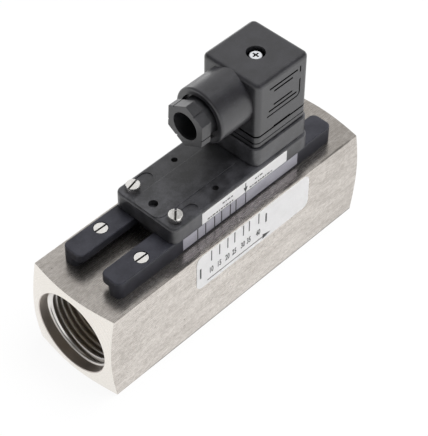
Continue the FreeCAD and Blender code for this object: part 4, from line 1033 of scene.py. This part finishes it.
@dataclass
class Label:
    """A thin printed plate on a side that faces -Y, with its ink as raised marks."""

    name: str
    node: str
    body: str
    stock: Stock
    corner: float
    film: float = 0.17
    ink_rise: float = 0.02
    bevel: float = 0.05
    type_weight: float = 0.03
    type_steps: int = 3
    marks: Draft = field(default_factory=Draft)

    def __post_init__(self) -> None:
        """Takes the plate's place from the CAD node."""
        self.low, self.high = (np.array(corner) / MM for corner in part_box(self.node))
        self.face = self.high[1] - self.film
        self.top = self.face - self.ink_rise

    def plate(self) -> None:
        """A rounded rectangle carried from the back to a slightly smaller front edge."""
        levels = [(0.0, self.high[1]), (0.0, self.face + self.bevel), (self.bevel, self.face)]
        rows = []
        for inset, y in levels:
            outline = round_outline(self.low[[0, 2]] + inset, self.high[[0, 2]] - inset,
                                    max(self.corner - inset, self.bevel))
            rows.append(np.insert(outline, 1, y, axis=1))
        draft = Draft()
        draft.sheet(np.stack(rows), caps=True)
        draft.piece(self.name, self.stock, self.body, self.stock.name, [self.node])

    def bars(self, rectangles: Sequence[Bar]) -> None:
        """Prints plain bars, each given by its lowest and highest X, then its lowest and highest Z."""
        edges = np.asarray(rectangles, dtype=float)
        self.marks.boxes(np.insert(edges[:, [0, 2]], 1, self.top, axis=1),
                         np.insert(edges[:, [1, 3]], 1, self.face, axis=1))

    def wedge(self, corners: Sequence[Span]) -> None:
        """Prints a filled outline.

        Args:
            corners: X and Z of its corners, in order.
        """
        flat = np.asarray(corners, dtype=float)
        rows = np.stack([np.insert(flat, 1, self.face, axis=1), np.insert(flat, 1, self.top, axis=1)])
        self.marks.sheet(rows, caps=True)

    def number(self, words: str, x: float, z: float, size: float, narrow: float) -> None:
        """Prints plain digits centred on a place.

        Args:
            words: Digits to print.
            x: Middle along the label.
            z: Foot of the digits.
            size: Size of the type.
            narrow: Share of the type's width that is kept.
        """
        curve = bpy.data.curves.new("digits", "FONT")
        curve.body = words
        curve.align_x = "CENTER"
        curve.size = size
        curve.offset = self.type_weight * size
        curve.extrude = self.ink_rise / 2
        curve.resolution_u = self.type_steps
        holder = bpy.data.objects.new("digits", curve)
        mesh = bpy.data.meshes.new_from_object(holder)
        flat = np.empty(3 * len(mesh.vertices))
        mesh.vertices.foreach_get("co", flat)
        flat = flat.reshape(-1, 3)
        points = np.stack([x + narrow * flat[:, 0], (self.face + self.top) / 2 - flat[:, 2],
                           z + flat[:, 1]], -1)
        self.marks.points.append(points)
        self.marks.faces += [[corner + self.marks.count for corner in face.vertices]
                             for face in mesh.polygons]
        self.marks.count += len(points)
        bpy.data.objects.remove(holder)
        bpy.data.curves.remove(curve)
        bpy.data.meshes.remove(mesh)

    def finish(self) -> None:
        """Makes the plate and its ink."""
        self.plate()
        self.marks.piece(self.name + "_print", Stock.ink, self.body, self.stock.name)


@dataclass
class Printing:
    """The three printed labels and their marks."""

    flow_ticks: tuple[float, ...] = (-15.8, -11.6, -7.3, -3.65, 0.96, 4.1, 9.2)
    strip_ticks: tuple[float, ...] = (-17.05, -12.95, -8.35, -4.7, -0.1, 2.9, 8.0)
    numbers: tuple[str, ...] = ("10", "15", "20", "25", "30", "35", "40")
    tick_half: float = 0.26
    tick_rise: Span = (33.4, 38.7)
    stop_marks: tuple[Bar, ...] = ((-21.85, -21.05, 28.0, 33.2), (12.85, 13.65, 31.4, 36.0))
    number_shift: float = -0.1
    number_foot: float = 27.4
    type_size: float = 4.0
    type_narrow: float = 0.56
    arrow_shaft: Bar = (-18.0, 12.4, 24.3, 24.75)
    arrow_head: tuple[Span, ...] = ((11.7, 23.3), (16.0, 24.5), (11.7, 25.75))
    strip_margin: float = 0.05
    index_head: tuple[Span, ...] = ((6.0, 50.6), (7.1, 47.95), (8.2, 50.6))
    index_shaft: Bar = (6.85, 7.35, 50.5, 52.6)
    dash_rows: tuple[Triple, ...] = (
        (48.9, -12.7, 0.9), (51.2, -5.0, 0.4), (48.9, 9.2, 22.0), (51.2, 12.0, 17.2))
    dash_lengths: tuple[float, ...] = (1.1, 0.6, 1.5, 0.9, 0.7)
    dash_most: int = 40
    dash_gap: float = 0.4
    dash_half: float = 0.32

    def ticks(self, places: Sequence[float], foot: float, top: float) -> list[Bar]:
        """Upright scale lines at these places along X, from foot to top."""
        return [(x - self.tick_half, x + self.tick_half, foot, top) for x in places]

    def flow_label(self) -> None:
        """Ticks with plain numbers, two stop marks and a flow arrow."""
        label = Label("flow_plate", "flow_label", "body", Stock.label_film, corner=3.0)
        label.bars(self.ticks(self.flow_ticks, *self.tick_rise))
        label.bars(self.stop_marks)
        for x, words in zip(self.flow_ticks, self.numbers):
            label.number(words, x + self.number_shift, self.number_foot, self.type_size, self.type_narrow)
        label.bars([self.arrow_shaft])
        label.wedge(self.arrow_head)
        label.finish()

    def scale_strip(self) -> None:
        """Full-height ticks on the silver strip."""
        label = Label("scale_plate", "scale_strip", "body", Stock.strip_foil, corner=0.1)
        foot, top = label.low[2] + self.strip_margin, label.high[2] - self.strip_margin
        label.bars(self.ticks(self.strip_ticks, foot, top))
        label.finish()

    def dashes(self, z: float, start: float, end: float) -> list[Bar]:
        """A row of plain dashes of repeating lengths.

        Args:
            z: Height of the row's middle.
            start: Lowest X.
            end: X that no dash passes.

        Returns:
            One bar for each dash.
        """
        lengths = np.resize(self.dash_lengths, self.dash_most)
        heads = start + np.concatenate([[0.0], np.cumsum(lengths[:-1] + self.dash_gap)])
        kept = heads + lengths <= end
        return [(head, head + length, z - self.dash_half, z + self.dash_half)
                for head, length in zip(heads[kept], lengths[kept])]

    def housing_label(self) -> None:
        """An index arrow and rows of plain dashes where small print would be."""
        label = Label("index_plate", "housing_label", "switch", Stock.label_film, corner=0.2)
        label.wedge(self.index_head)
        label.bars([self.index_shaft])
        for row in self.dash_rows:
            label.bars(self.dashes(*row))
        label.finish()

    def build(self) -> None:
        """Makes all three."""
        self.flow_label()
        self.scale_strip()
        self.housing_label()


@dataclass(frozen=True)
class Lamp:
    """A soft rectangular light, in metres and watts, hidden from glossy surfaces unless mirrored."""

    name: str
    place: Triple
    size: Span
    power: float
    mirrored: bool = False
    aim: Triple = (0.0, 0.0, 0.04)

    def hang(self) -> None:
        """Adds the light, turned to its aim."""
        data = bpy.data.lights.new(self.name, "AREA")
        data.shape = "RECTANGLE"
        data.size, data.size_y = self.size
        data.energy = self.power
        item = add_object(self.name, data)
        item.location = self.place
        item.visible_glossy = self.mirrored
        way = Vector(self.aim) - Vector(self.place)
        item.rotation_euler = way.to_track_quat("-Z", "Y").to_euler()


@dataclass
class Studio:
    """Floor, light and the camera that took the photograph."""

    place: Triple = (-313.129, -297.983, 485.776)
    right: Triple = (0.6877219, -0.7259288, 0.0081189)
    forward: Triple = (0.5028757, 0.4682831, -0.726517)
    focal_pixels: float = 1697.05
    picture_height: float = 436.0
    sensor: float = 36.0
    clip: Span = (0.01, 20.0)
    overhead: float = 0.62
    band: float = 0.12
    ceiling_way: Triple = (0.503, 0.468, 0.727)
    ceiling_limits: Span = (0.66, 0.92)
    backdrop_limits: Span = (0.02, 0.42)
    floor_tone: float = 0.9
    floor_glow: float = 0.93
    floor_half: float = 4.0
    floor_corner: float = 0.5
    floor_drop: float = 0.0002
    lamps: tuple[Lamp, ...] = (
        Lamp("top_light", (0.3, -0.2, 1.15), (0.8, 0.8), 17.0),
        Lamp("side_light", (0.2, -1.0, 0.5), (0.9, 0.6), 1.6),
        Lamp("rear_light", (0.62, 1.05, 0.1), (0.5, 0.3), 1.0, mirrored=True))

    def camera(self) -> None:
        """A camera with the photograph's place, turn and focal length."""
        lens = bpy.data.cameras.new("photo_camera")
        lens.sensor_width = self.sensor
        lens.lens = self.focal_pixels / self.picture_height * self.sensor
        lens.clip_start, lens.clip_end = self.clip
        item = add_object("photo_camera", lens)
        back = -Vector(self.forward).normalized()
        side = Vector(self.right)
        side = (side - back * side.dot(back)).normalized()
        turn = Matrix((side, back.cross(side), back)).transposed().to_4x4()
        item.matrix_world = Matrix.Translation(Vector(self.place) * MM) @ turn
        bpy.context.scene.camera = item

    def world(self) -> None:
        """A white backdrop that fades upwards into a dim band, with a soft ceiling to the rear.

        The camera, and whatever is seen through glass, gets plain white.
        """
        world = bpy.data.worlds.new("studio")
        tree = ShaderTree(world)
        plain = tree.ray("Camera").larger(tree.ray("Transmission"))
        x, y, rise = tree.axes(tree.node("ShaderNodeTexCoord", output="Generated"))
        facing = weighed(self.ceiling_way, x, y, rise)
        ceiling = facing.ramp(*self.ceiling_limits) * (self.overhead - self.band)
        backdrop = (1 - rise.ramp(*self.backdrop_limits)) * (1 - self.band)
        strength = plain + (1 - plain) * (self.band + ceiling + backdrop)
        light = tree.node("ShaderNodeBackground", None, {"Color": WHITE, "Strength": strength})
        tree.node("ShaderNodeOutputWorld", None, {"Surface": light})
        bpy.context.scene.world = world

    def floor(self) -> None:
        """A pale floor just under the object, white to the camera and in reflections."""
        tree = ShaderTree.named("floor")
        seen = tree.ray("Camera").larger(tree.ray("Glossy")).larger(tree.ray("Transmission"))
        lit = tree.node("ShaderNodeBsdfDiffuse", None, {"Color": (*(self.floor_tone,) * 3, 1.0)})
        glow = tree.node("ShaderNodeEmission", None, {"Color": WHITE, "Strength": 1.0})
        mixed = tree.node("ShaderNodeMixShader", None, {0: seen * self.floor_glow, 1: lit, 2: glow})
        tree.node("ShaderNodeOutputMaterial", None, {"Surface": mixed})
        mesh = bpy.data.meshes.new("floor")
        corners = round_outline((-self.floor_half,) * 2, (self.floor_half,) * 2, self.floor_corner)
        points = np.insert(corners, 2, -self.floor_drop, axis=1)
        mesh.from_pydata(points.tolist(), [], [list(range(len(points)))])
        mesh.materials.append(tree.holder)
        item = add_object("floor", mesh)

    def build(self) -> None:
        """Sets up everything around the object."""
        bpy.context.scene.view_settings.view_transform = "Standard"
        self.camera()
        self.world()
        self.floor()
        for lamp in self.lamps:
            lamp.hang()


def main() -> None:
    """Builds the studio and every piece in order."""
    logging.basicConfig(level=logging.INFO, format="%(name)s: %(message)s")
    Studio().build()
    WARDROBE.dress_solids()
    FlowBar().build()
    ReturnSpring().build()
    Printing().build()


if __name__ == "__main__":
    main()
